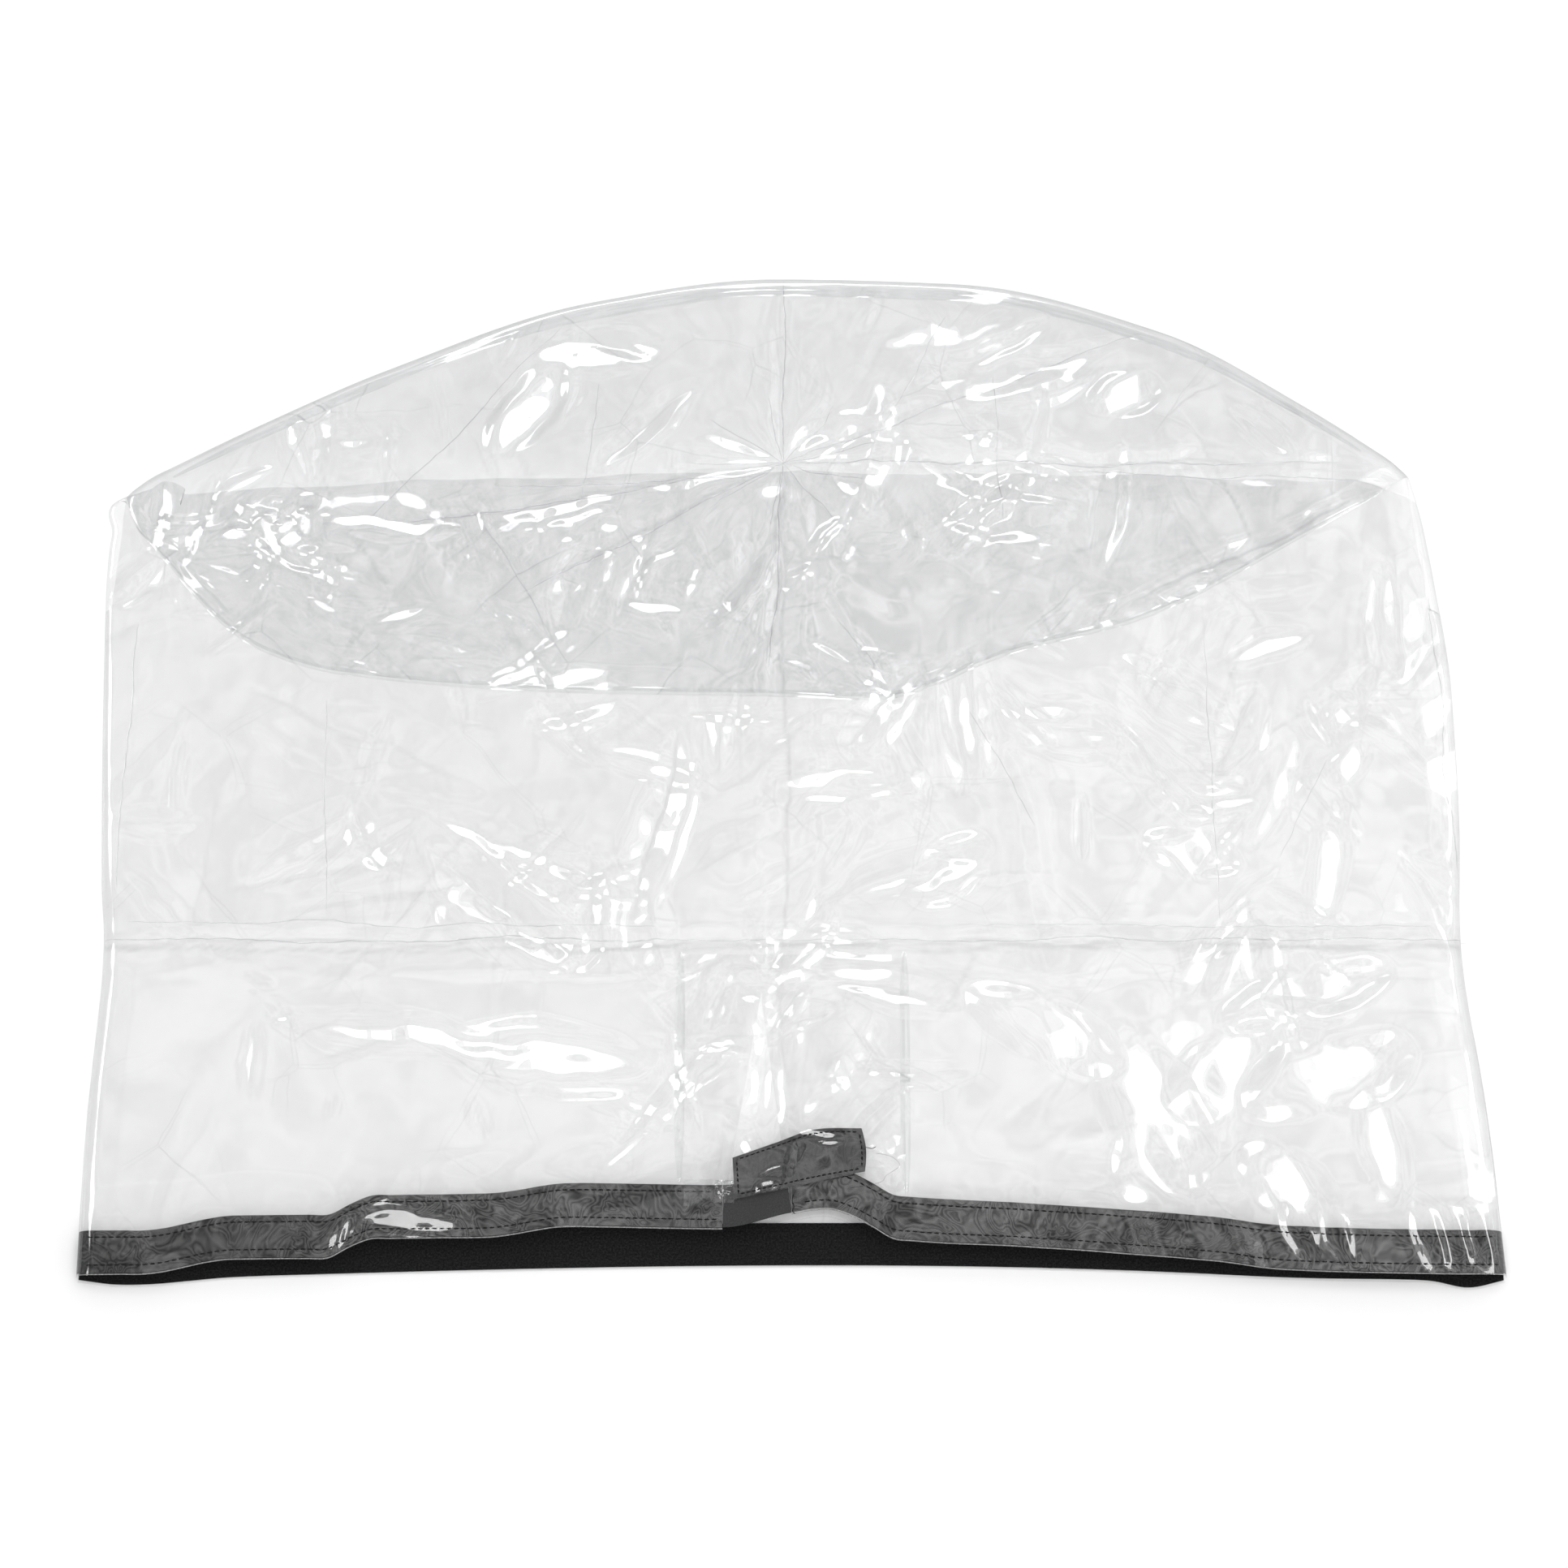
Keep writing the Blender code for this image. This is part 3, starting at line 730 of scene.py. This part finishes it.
def crown_z(x, y):
    relief = Relief(x, y, 140)
    relief.waves((130, 1.8, 41), (50, 0.7, 42), (24, 0.30, 45))
    relief.crumple(
        (34, 64, 0.09, 43, LEFT, RIGHT, 0.04, 0.32), (36, 30, 0.32, 46, LEFT, RIGHT, 0.04, 0.31),
        (18, 34, 0.36, 47, 0.03, 0.22, 0.15, 0.22), (16, 28, 0.38, 48, -0.01, 0.06, 0.06, 0.18),
        (12, 30, 0.36, 49, -0.16, -0.03, 0.11, 0.17), (18, 28, 0.36, 50, -0.37, -0.20, 0.09, 0.16),
        (14, 24, 0.38, 51, -0.40, -0.32, 0.145, 0.185), (16, 26, 0.36, 52, -0.33, -0.14, 0.140, 0.175))
    relief.star(*CROWN_MIDDLE, 55 * MM, 3.2 * MM, 13, 44)
    relief.bulge(LEAN_NEAR, (-0.122, 0.271, 0.1, 44, 20))
    relief.bulge(LEAN_LEFT, (-0.165, 0.232, 1.0, 40, 20))
    relief.bulge(LEAN_NEAR, (0.154, 0.254, 0.25, 50, 20))
    relief.bulge(LEAN_LEFT, (0.214, 0.243, 0.2, 28, 17))
    relief.fold(-0.090, 0.220, 0.75, 48 * MM, 14 * MM, 0.36, 0.10)
    relief.fold(0.285, 0.136, 0.46, 95 * MM, 13 * MM, 0.34, 0.22)
    for end_x, end_y in CROWN_CREASES:
        dx, dy = end_x - CROWN_MIDDLE[0], end_y - CROWN_MIDDLE[1]
        relief.fold(CROWN_MIDDLE[0] + dx / 2, CROWN_MIDDLE[1] + dy / 2, atan2(dy, dx),
                    hypot(dx, dy) * 0.62, 14 * MM, 0.10, mark=0.4)
    relief.height *= smooth_step(top_arc(x) - y, 2 * MM, 14 * MM)
    from_arc = unit((top_arc(x) - y) / (6 * MM))
    rise = np.sqrt(1.0 - (1.0 - from_arc) ** 2)
    own = wall_height(y) + 2.6 * MM + relief.height
    under_turned, _ = turned_z(x, y)
    # 1 where the crown lies on the turned-under film, and less above the hidden fold.
    in_lens = smooth_step(hidden_fold(x) + 32 * MM - y, 0.0, 32 * MM)
    seam_part = unit((y - front_seam(x)) / (15 * MM))
    own = own * seam_part + (under_turned + 0.3 * MM) * (1 - seam_part)
    lifted = np.maximum(own, under_turned + 0.35 * MM)
    own = np.maximum(between(own, lifted, in_lens), REST + 1.0 * MM)
    shade = np.maximum(relief.crease, CROWN_SHADE * (1.0 - 0.8 * in_lens))
    return between(REST + 0.5 * MM, own, rise), shade


def film_crown():
    share = shares(0.79)
    v = shares(0.27)[:, None]
    seam_x = part_of(front_seam, share)
    arc_x = part_of(top_arc, share)
    y = between(front_seam(seam_x), top_arc(arc_x), v)
    x = between(seam_x, arc_x, v)
    return grid_sheet("film_crown", CROWN_MAT, x, y, *crown_z(x, y))


def film_gusset():
    x, up = np.meshgrid(np.linspace(GUSSET_LEFT, GUSSET_RIGHT, steps(0.135)), shares(0.17))
    y = between(tape_line(x), GUSSET_TOP, up)
    relief = Relief(x, y, 150)
    relief.waves((40, 0.8, 51))
    relief.crumple((40, 35, 0.25, 52, -0.07, 0.07, -0.30, -0.12))
    z = front_top(x, y) - 2.3 * MM + np.minimum(relief.height, 1.2 * MM)
    z = np.maximum(z, back_z(x, y)[0] + CLEARANCE)
    return grid_sheet("film_gusset", UNDER_MAT, x, y, z, relief.crease)


# ---- Welds and creases ----
def path_along(curve, start, stop):
    x = np.linspace(start, stop, steps(abs(stop - start), 2.0 * MM))
    return np.stack((x, curve(x)), axis=1)


def ribbon(name, path, offsets, heights, surface, mat, taper=False):
    """A narrow strip along a path. offsets are its columns, sideways from the path, and
    heights how far each stands above the surface."""
    along = np.gradient(path, axis=0)
    along /= np.linalg.norm(along, axis=1)[:, None] + 1e-12
    sideways = np.stack((-along[:, 1], along[:, 0]), axis=1)
    share = np.linspace(-1.0, 1.0, len(path))
    width = np.sqrt(1.0 - 0.97 * share**4) if taper else np.ones(len(path))
    offset = np.asarray(offsets) * width[:, None]
    x = path[:, :1] + offset * sideways[:, :1]
    y = path[:, 1:] + offset * sideways[:, 1:]
    return grid_sheet(name, mat, x, y, surface(x, y) + np.asarray(heights))


def wandering(start, end, seed):
    """A path between two points that strays a little from the straight line."""
    start, end = np.asarray(start), np.asarray(end)
    share = shares(np.linalg.norm(end - start), 1.5 * MM)[:, None]
    path = between(start, end, share)
    ends = np.sin(share[:, 0] * pi)
    for axis in (0, 1):
        stray = 4.0 * MM * lattice_noise(path[:, 0], path[:, 1], 60 * MM, seed + axis) * ends
        stray += 0.7 * MM * lattice_noise(path[:, 0], path[:, 1], 9 * MM, seed + axis + 2)
        path[:, axis] += stray
    return path


WELD_COLUMNS = np.linspace(-1.0, 1.0, 9)
WELD_HEIGHTS = 0.35 * MM + 0.06 * MM * np.cos(2 * pi * WELD_COLUMNS)


def weld_band(name, path, width, surface):
    return ribbon(name, path, WELD_COLUMNS * width / 2, WELD_HEIGHTS, surface, WELD_MAT, taper=True)


def crown_top(x, y):
    return crown_z(x, y)[0]


def join(name, parts):
    """Several meshes with one material, as one object."""
    verts, faces = [], []
    for part in parts:
        first = len(verts)
        verts.extend(tuple(v.co) for v in part.data.vertices)
        faces.extend([first + i for i in face.vertices] for face in part.data.polygons)
        mat = part.data.materials[0]
        bpy.data.objects.remove(part)
    return add_mesh(name, verts, faces, mat)


# Thin lines of painted shade along creases: from where, to where, and their width in mm.
PACKING_Y = CREASE_Y + 2.5 * MM
CROWN_LINES = [
    ((-0.27, 0.150), (-0.145, 0.288), 0.7), ((0.18, 0.190), (0.36, 0.184), 0.8),
    ((0.10, 0.296), (0.06, 0.222), 0.6), ((-0.18, 0.180), (-0.02, 0.186), 0.8),
    ((0.13, 0.255), (0.135, 0.160), 0.6), ((-0.12, 0.250), (-0.13, 0.170), 0.5)]
FRONT_LINES = [
    ((-0.415, PACKING_Y), (0.0, PACKING_Y), 0.9), ((0.0, PACKING_Y), (0.415, PACKING_Y), 0.9),
    ((-0.40, PACKING_Y + 11 * MM), (-0.08, PACKING_Y + 8 * MM), 0.6),
    ((0.10, PACKING_Y + 9 * MM), (0.39, PACKING_Y + 8 * MM), 0.6),
    ((-0.404, 0.090), (-0.408, -0.080), 0.9), ((-0.285, 0.040), (-0.280, -0.095), 0.7),
    ((0.258, 0.080), (0.262, -0.100), 0.6), ((0.398, 0.110), (0.408, -0.070), 0.8),
    ((0.110, 0.035), (0.150, -0.040), 0.5), ((0.330, 0.000), (0.300, -0.060), 0.5)]


def crease_shade_lines(name, lines, surface, first_seed):
    """The lines of painted shade as one piece of darker film, on a surface."""
    parts = []
    for count, (start, end, width) in enumerate(lines):
        path = wandering(start, end, first_seed + 5 * count)
        half = width * MM / 2
        parts.append(ribbon("line", path, (-half, 0.0, half), (0.12 * MM, 0.25 * MM, 0.12 * MM),
                            surface, CREASE_SHADE_MAT, taper=True))
    return join(name, parts)


def build_welds():
    lines = (("back", shifted(top_arc, -9 * MM), top_arc, 30 * MM, 7 * MM),
             ("front", front_seam, front_seam, 8 * MM, 5 * MM))
    for name, line, ends, inset, width in lines:
        path = path_along(line, ends.start + inset, ends.stop - inset)
        hang(weld_band(f"weld_crown_{name}", path, width, crown_top), "cover", "welded_film",
             f"{name}_crown_seam")
    for side, x in (("left", GUSSET_LEFT), ("right", GUSSET_RIGHT)):
        y = np.linspace(front_hem(x) + TAPE_WIDTH + 3 * MM, CREASE_Y - 5 * MM, steps(0.14, 2 * MM))
        path = np.stack((np.full_like(y, x), y), axis=1)
        hang(weld_band(f"weld_gusset_{side}", path, 6 * MM, front_top), "skirt", "welded_film",
             f"gusset_weld_{side}")


def build_crease_shades():
    cx, cy = CROWN_MIDDLE
    lines = [(CROWN_MIDDLE, end, 0.9) for end in CROWN_CREASES] + CROWN_LINES
    lines += [(CROWN_MIDDLE, (cx + 0.06 * cos(turn), cy + 0.045 * sin(turn)), 0.6)
              for turn in np.linspace(0.3, 6.0, 9)]
    # Painted shade: strips of darker film along the crown's and the front's creases.
    hang(crease_shade_lines("creases_crown", lines, crown_top, 300), "cover", "clear_film")
    hang(crease_shade_lines("creases_front", FRONT_LINES, front_top, 500), "cover", "clear_film")


# ---- Hem tape ----
def back_tape_top(x, y):
    return back_z(x, y)[0] + 0.3 * MM + TAPE


def tape_plate(name, mat, x, y, top):
    """A piece of tape, from a grid of x, y and the height of its top."""
    rows, columns = x.shape
    count = rows * columns
    verts = np.concatenate((np.stack((x, y, top), -1).reshape(-1, 3),
                            np.stack((x, y, top - TAPE), -1).reshape(-1, 3)))
    faces = grid_faces(rows, columns)
    faces += [[count + i for i in reversed(face)] for face in faces]
    order = np.arange(count).reshape(rows, columns)
    edge = np.concatenate((order[0], order[1:, -1], order[-1, -2::-1], order[-2:0:-1, 0])).tolist()
    for a, b in zip(edge, edge[1:] + edge[:1]):
        faces.append([b, a, count + a, count + b])
    obj = add_mesh(name, verts, faces, mat)
    obj.data.set_sharp_from_angle(angle=radians(50))
    return obj


def tape_strip(name, mat, x, low, top):
    """A strip of tape. x runs along it, low is its lower edge and top its upper face."""
    xs = np.repeat(x[None, :], 10, axis=0)
    ys = low(xs) + np.linspace(0.0, 1.0, 10)[:, None] * TAPE_WIDTH
    return tape_plate(name, mat, xs, ys, top(xs, ys))


# ---- Stitching ----
def thread_ring(centre, ahead, radius, sides, lift=0.0):
    """The points round a thread at one place along it, which may be lifted a little."""
    ahead = ahead / (np.linalg.norm(ahead) + 1e-12)
    sideways = np.cross((0.0, 0.0, 1.0), ahead)
    sideways /= np.linalg.norm(sideways) + 1e-12
    upward = np.cross(ahead, sideways)
    turns = 2 * pi * np.arange(sides) / sides
    return [centre + upward * lift + radius * (cos(turn) * sideways + sin(turn) * upward)
            for turn in turns]


def tube_faces(first, rings, sides):
    """The faces of a tube whose rings of points are numbered from first on."""
    faces = []
    for start in range(first, first + (rings - 1) * sides, sides):
        for s in range(sides):
            a, b = start + s, start + (s + 1) % sides
            faces.append([a, b, b + sides, a + sides])
    return faces


def laid(x, y, surface, lift=0.0):
    """Points of a line that lies on a surface."""
    return np.stack((x, y, surface(x, y) + lift), axis=1)


def stitch_row(name, path, pitch=STITCH_PITCH, length=STITCH_LENGTH):
    """A row of stitches along a line of points: each lies on the sheet and dips into a
    needle hole at both ends."""
    gaps = np.linalg.norm(np.diff(path, axis=0), axis=1)
    run = np.concatenate(([0.0], np.cumsum(gaps)))

    def along(distance):
        return np.array([np.interp(distance, run, path[:, c]) for c in range(3)])

    verts, faces = [], []
    sides, rings = 6, 5
    for start in np.arange(0.4 * pitch, run[-1] - length, pitch):
        first = len(verts)
        for k in range(rings):
            at = start + length * k / (rings - 1)
            centre = along(at)
            end = abs(2 * k / (rings - 1) - 1)
            verts += thread_ring(centre, along(at + 0.3 * MM) - centre, THREAD * (1.0 - 0.55 * end**4),
                                 sides, 0.10 * MM - 0.42 * MM * end**3)
        faces += tube_faces(first, rings, sides)
        faces.append([first + s for s in reversed(range(sides))])
        faces.append([first + (rings - 1) * sides + s for s in range(sides)])
    return add_mesh(name, verts, faces, THREAD_MAT)


def thread_tube(name, points, radius):
    """A loose thread through points."""
    count = len(points)
    run = np.linspace(0, count - 1, 8 * count)
    path = np.stack([curve_through(np.arange(count), values)(run) for values in points.T], axis=1)
    verts, sides = [], 5
    for centre, ahead in zip(path, np.gradient(path, axis=0)):
        verts += thread_ring(centre, ahead, radius, sides)
    return add_mesh(name, verts, tube_faces(0, len(path), sides), THREAD_MAT)


def hem_path(start, stop, low, shift, surface):
    x = np.linspace(start, stop, 400)
    return laid(x, low(x) + shift, surface)


# ---- Closing tab ----
tab_points = corners("tab_film")[:, :2]
tab_points = tab_points[np.concatenate(([True], np.abs(np.diff(tab_points[:, 0])) > 1e-5))]
tab_tilt, tab_middle = np.polyfit(tab_points[:, 0], tab_points[:, 1], 1)
above = tab_points[:, 1] > tab_middle + tab_tilt * tab_points[:, 0]
inner = tab_points[:, 0] < tab_points[:, 0].max() - 1e-4
tab_high = curve_through(*tab_points[above & inner].T)
tab_low = curve_through(*tab_points[~above & inner].T)
TAB_LIFT = 1.9 * MM           # of the tab's tape over the front
TAB_PITCH, TAB_STITCH = 3.3 * MM, 2.6 * MM
TAB_RING = ((0.035, 0.10), (0.965, 0.10), (0.965, 0.90), (0.035, 0.90), (0.035, 0.10))


def tab_place(u, v):
    """A point of the tab: u from its root to its free end, v from its front edge to its back."""
    x_low, x_high = part_of(tab_low, u), part_of(tab_high, u)
    x = between(x_low, x_high, v) + 2.0 * MM * u**10 * np.sin(pi * v)
    return x, between(tab_low(x_low), tab_high(x_high), v)


def tab_surface(x, y):
    relief = Relief(x, y, 170)
    relief.waves((26, 0.6, 171), (11, 0.10, 172))
    relief.bulge(LEAN_NEAR, (*tab_place(0.27, 0.17), 0.8, 13, 7),
                 (*tab_place(0.66, 0.85), -0.2, 18, 6))
    relief.bulge((-0.12, 0.03), (*tab_place(0.45, 0.55), 1.2, 12, 5))
    return wall_height(y) + TAB_LIFT + TAPE + np.maximum(relief.height, -0.6 * MM)


def build_tab():
    u, v = np.meshgrid(np.linspace(0, 1, 54), np.linspace(0, 1, 20))
    x, y = tab_place(0.004 + 0.988 * u, 0.02 + 0.955 * v)
    hang(tape_plate("tab_hook_tape", TAB_MAT, x, y, tab_surface(x, y)), "tab", "hook_tape", "tab_tape")
    x, y = tab_place(-0.006 + 1.012 * u, v)
    film = grid_sheet("film_tab", UNDER_MAT, x, y, tab_surface(x, y) + 0.25 * MM)
    hang(film, "tab", "clear_film", "tab_film")
    run = np.linspace(0.0, 1.0, 40)
    rows = []
    for (u0, v0), (u1, v1) in zip(TAB_RING, TAB_RING[1:]):
        x, y = tab_place(between(u0, u1, run), between(v0, v1, run))
        rows.append(stitch_row("row", laid(x, y, tab_surface, 0.30 * MM), TAB_PITCH, TAB_STITCH))
    hang(join("tab_stitches", rows), "tab", "thread", "tab_stitch")
    x, y = tab_place(np.array([0.99, 1.03, 1.05]), np.array([0.55, 0.52, 0.56]))
    hang(thread_tube("tab_thread_tail", laid(x, y, tab_surface), 0.22 * MM), "tab", "thread")
    x, y = tab_place(np.array([1.05, 1.13, 1.19, 1.18, 1.24, 1.36]),
                     np.array([0.44, 0.36, 0.16, -0.06, -0.22, -0.34]))
    hang(thread_tube("loose_thread", laid(x, y, front_top, 0.35 * MM), 0.07 * MM), "skirt", "thread")
    x = SLIT_RIGHT + np.array([1.0, 0.2, 1.4, 0.4, 1.8]) * MM
    y = front_hem(SLIT_RIGHT) + np.array([12.0, 8.0, 5.0, 2.5, 0.5]) * MM
    hang(thread_tube("slit_thread_knot", laid(x, y, front_top, 0.5 * MM), 0.30 * MM), "skirt", "thread")

    low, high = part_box("tab_root_film")
    x, y = np.meshgrid(np.linspace(low[0] - 1 * MM, high[0] + 1 * MM, 24),
                       np.linspace(low[1] - 1 * MM, high[1], 30))
    crumpled = Relief(x, y, 180)
    crumpled.crumple((16, 7, 0.55, 181, low[0], high[0], low[1], high[1]))
    z = wall_height(y) + TAB_LIFT + TAPE + 0.4 * MM + np.clip(crumpled.height, -0.8 * MM, 1.0 * MM)
    piece = grid_sheet("film_tab_root", WELD_MAT, x, y, z, crumpled.crease)
    hang(piece, "tab_root", "welded_film", "tab_root_film")

    low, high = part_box("hem_end_patch")
    x, y = np.meshgrid(np.linspace(low[0], high[0], 16), np.linspace(low[1], high[1], 16))
    piece = grid_sheet("film_patch", WELD_MAT, x, y, front_top(x, y) + 0.45 * MM)
    hang(piece, "skirt", "welded_film", "hem_end_patch")


def hang(piece, body, slot, *nodes, side=None):
    """Says which body a piece rides on and hides the CAD nodes it replaces; the material slot is
    not used. With a side, the piece rides on no body: only its transform is baked in."""
    if side is None:
        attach(piece, body)
    else:
        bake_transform(piece)
    if nodes:
        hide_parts(*nodes)


def let_light_through():
    """Clear film casts no shadow worth seeing, so the table below it stays evenly lit."""
    for piece in scene.objects:
        if piece.name.startswith(("film_", "weld_", "creases_")):
            piece.visible_shadow = piece.visible_diffuse = False


def build_film():
    nodes = ("back_wall", "front_wall", "front_wall_turned_under", "crown")
    for piece, node in zip((film_back(), *film_front(), film_crown()), nodes):
        hang(piece, "cover", "clear_film", node)
    for side in ("left", "right"):
        hang(film_skirt(side), "skirt", "clear_film", "front_skirt", f"{side}_side_fold", side=side)
    hang(film_gusset(), "skirt", "clear_film", "gusset_panel")


def build_hem():
    under_film = shifted(front_top, -0.3 * MM)
    turned = TAPE_INSET + SIDE_FOLD * fold_steps()
    clear = SIDE_FOLD + 3 * MM
    left = np.concatenate((HEM_LEFT + turned, np.linspace(HEM_LEFT + clear, SLIT_LEFT, steps(0.35))))
    right = np.concatenate((np.linspace(SLIT_RIGHT, HEM_RIGHT - clear, steps(0.39)),
                            (HEM_RIGHT - turned)[::-1]))
    for side, x in (("left", left), ("right", right)):
        piece = tape_strip(f"hem_tape_{side}", TAPE_MAT, x, tape_line, under_film)
        hang(piece, "skirt", "loop_tape", f"{side}_hem_tape", f"{side}_side_tape", side=side)
    x = np.linspace(SLIT_LEFT + 0.2 * MM, SLIT_RIGHT - 0.2 * MM, 30)
    tongue = tape_strip("bare_tongue", HOOK_MAT, x, tape_line, under_film)
    hang(tongue, "skirt", "hook_tape", "hook_tongue")
    x = np.linspace(HEM_LEFT + TAPE_INSET, HEM_RIGHT - TAPE_INSET, steps(0.84))
    back = tape_strip("hem_tape_back", LOOP_MAT, x, shifted(back_hem, HEM_LIP), back_tape_top)
    hang(back, "cover", "loop_tape", "back_hem_tape")
    # The film's lip below the front tape: grey strips, a painted highlight along its clear edge.
    for side, start, stop in (("left", HEM_LEFT + 3 * MM, SLIT_LEFT),
                              ("right", SLIT_RIGHT, HEM_RIGHT - 3 * MM)):
        path = path_along(shifted(front_hem, 0.4 * MM), start, stop)
        piece = ribbon(f"film_lip_highlight_{side}", path, (-0.3 * MM, 0.0, 0.3 * MM),
                       (0.0, 0.15 * MM, 0.1 * MM), front_top, LIP_HIGHLIGHT_MAT)
        hang(piece, "skirt", "clear_film", side=side)
    for row, shift in (("lower", HEM_LIP + 4.5 * MM), ("upper", HEM_LIP + TAPE_WIDTH - 4.0 * MM)):
        for side, start, stop in (("left", HEM_LEFT + 6 * MM, SLIT_LEFT - 3 * MM),
                                  ("right", SLIT_RIGHT + 6 * MM, HEM_RIGHT - 6 * MM)):
            path = hem_path(start, stop, front_hem, shift, front_top)
            hang(stitch_row(f"stitches_{side}_{row}", path), "skirt", "thread",
                 f"{side}_hem_stitch_{row}", side=side)
        path = hem_path(-0.40, 0.40, back_hem, shift, shifted(back_tape_top, -0.3 * MM))
        hang(stitch_row(f"stitches_back_{row}", path), "cover", "thread", f"back_hem_stitch_{row}")


# ---- Stage ----
TABLE_HALF = 24.0
TABLE_DROP = 0.0002           # below the cover, so that nothing lies in the table's plane
DOME_RADIUS = 25.0


def build_stage():
    h, z = TABLE_HALF, -TABLE_DROP
    white = stage_material("table_white", "BsdfDiffuse", 3.0, (0.83,) * 3, (0.86,) * 3)
    add_mesh("table", [(-h, -h, z), (h, -h, z), (h, h, z), (-h, h, z)], [(0, 1, 2, 3)], white)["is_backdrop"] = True

    dome = bpy.data.meshes.new("backdrop")
    ball = bmesh.new()
    bmesh.ops.create_icosphere(ball, subdivisions=4, radius=DOME_RADIUS)
    ball.to_mesh(dome)
    ball.free()
    dome.materials.append(stage_material("backdrop_white", "Emission", 0.2, (0.97,) * 3, (1.0,) * 3))
    backdrop = add_object("backdrop", dome)
    for rays in ("diffuse", "glossy", "transmission", "shadow"):
        setattr(backdrop, "visible_" + rays, False)
    backdrop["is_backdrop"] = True


def build_world():
    """Soft clouds of light for the film to mirror, brighter towards the right."""
    world = bpy.data.worlds.new("studio")
    world.use_nodes = True
    graph = Graph(world.node_tree)
    place = graph.add("TexCoord").outputs["Generated"]
    x = graph.add("SeparateXYZ", Vector=place).outputs["X"]
    clouds = graph.noise(place, 10.0, Detail=4.0, Distortion=0.8)
    background = world.node_tree.nodes["Background"]
    graph.put(background.inputs["Color"],
              graph.remap(clouds, From_Min=0.36, From_Max=0.64, To_Min=0.30, To_Max=1.70))
    graph.put(background.inputs["Strength"],
              graph.remap(x, From_Min=-0.5, From_Max=0.5, To_Min=0.35, To_Max=1.25))
    scene.world = world


def aim(name, data, place, ahead):
    """A camera or a light at a place, facing ahead."""
    obj = add_object(name, data)
    obj.location = place
    obj.rotation_mode = "QUATERNION"
    obj.rotation_quaternion = ahead.to_track_quat("-Z", "Y")
    return obj


def build_camera():
    camera = bpy.data.cameras.new("camera")
    camera.lens = CAMERA_LENS
    camera.sensor_width = 36.0
    scene.camera = aim("camera", camera, LOOK_AT + TO_CAMERA * CAMERA_DISTANCE, -TO_CAMERA)
    scene.view_settings.view_transform = "Standard"


def area_light(name, place, target, size, radiance, seen_by_gloss):
    """A soft box that either lights the table or only shows as a reflection."""
    light = bpy.data.lights.new(name, "AREA")
    light.shape = "RECTANGLE"
    light.size, light.size_y = size
    light.energy = radiance * pi * size[0] * size[1]
    lamp = aim(name, light, place, target - place)
    lamp.visible_glossy = seen_by_gloss
    lamp.visible_diffuse = not seen_by_gloss
    lamp.visible_transmission = False


def reflected_from(slope_x, slope_y, distance):
    """Where a soft box stands so that film with this slope shows it to the camera."""
    normal = Vector((-slope_x, -slope_y, 1.0)).normalized()
    ray = 2 * normal.dot(TO_CAMERA) * normal - TO_CAMERA
    return LOOK_AT + ray * distance


BOX_DISTANCE = 12.0
TABLE_LIGHT = 3.2             # height and side of the lamp that lights the table
TABLE_RADIANCE = 1.95
BOX_RADIANCE = 7.0
GLOW_RADIANCE = 1.3
# Each soft box by the film slope that shows it from the middle of the frame, and its size
# as seen from there.
SOFT_BOXES = ((-0.25, 0.05, 0.28, 0.24), (0.33, -0.03, 0.26, 0.32), (0.02, -0.25, 0.34, 0.20),
              (-0.04, 0.27, 0.36, 0.18))


def build_lights():
    area_light("table_light", Vector((0.0, 0.0, TABLE_LIGHT)), Vector(), (TABLE_LIGHT, TABLE_LIGHT),
               TABLE_RADIANCE, False)
    for count, (slope_x, slope_y, wide, deep) in enumerate(SOFT_BOXES):
        for name, distance, grow, radiance in (("box", BOX_DISTANCE, 1.0, BOX_RADIANCE),
                                               ("glow", BOX_DISTANCE + 0.5, 1.3, GLOW_RADIANCE)):
            size = (grow * wide * distance, grow * deep * distance)
            place = reflected_from(slope_x, slope_y, distance)
            area_light(f"soft_{name}_{count}", place, LOOK_AT, size, radiance, True)


build_film()
build_hem()
build_welds()
build_crease_shades()
build_tab()
let_light_through()
build_stage()
build_world()
build_camera()
build_lights()
low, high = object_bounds()
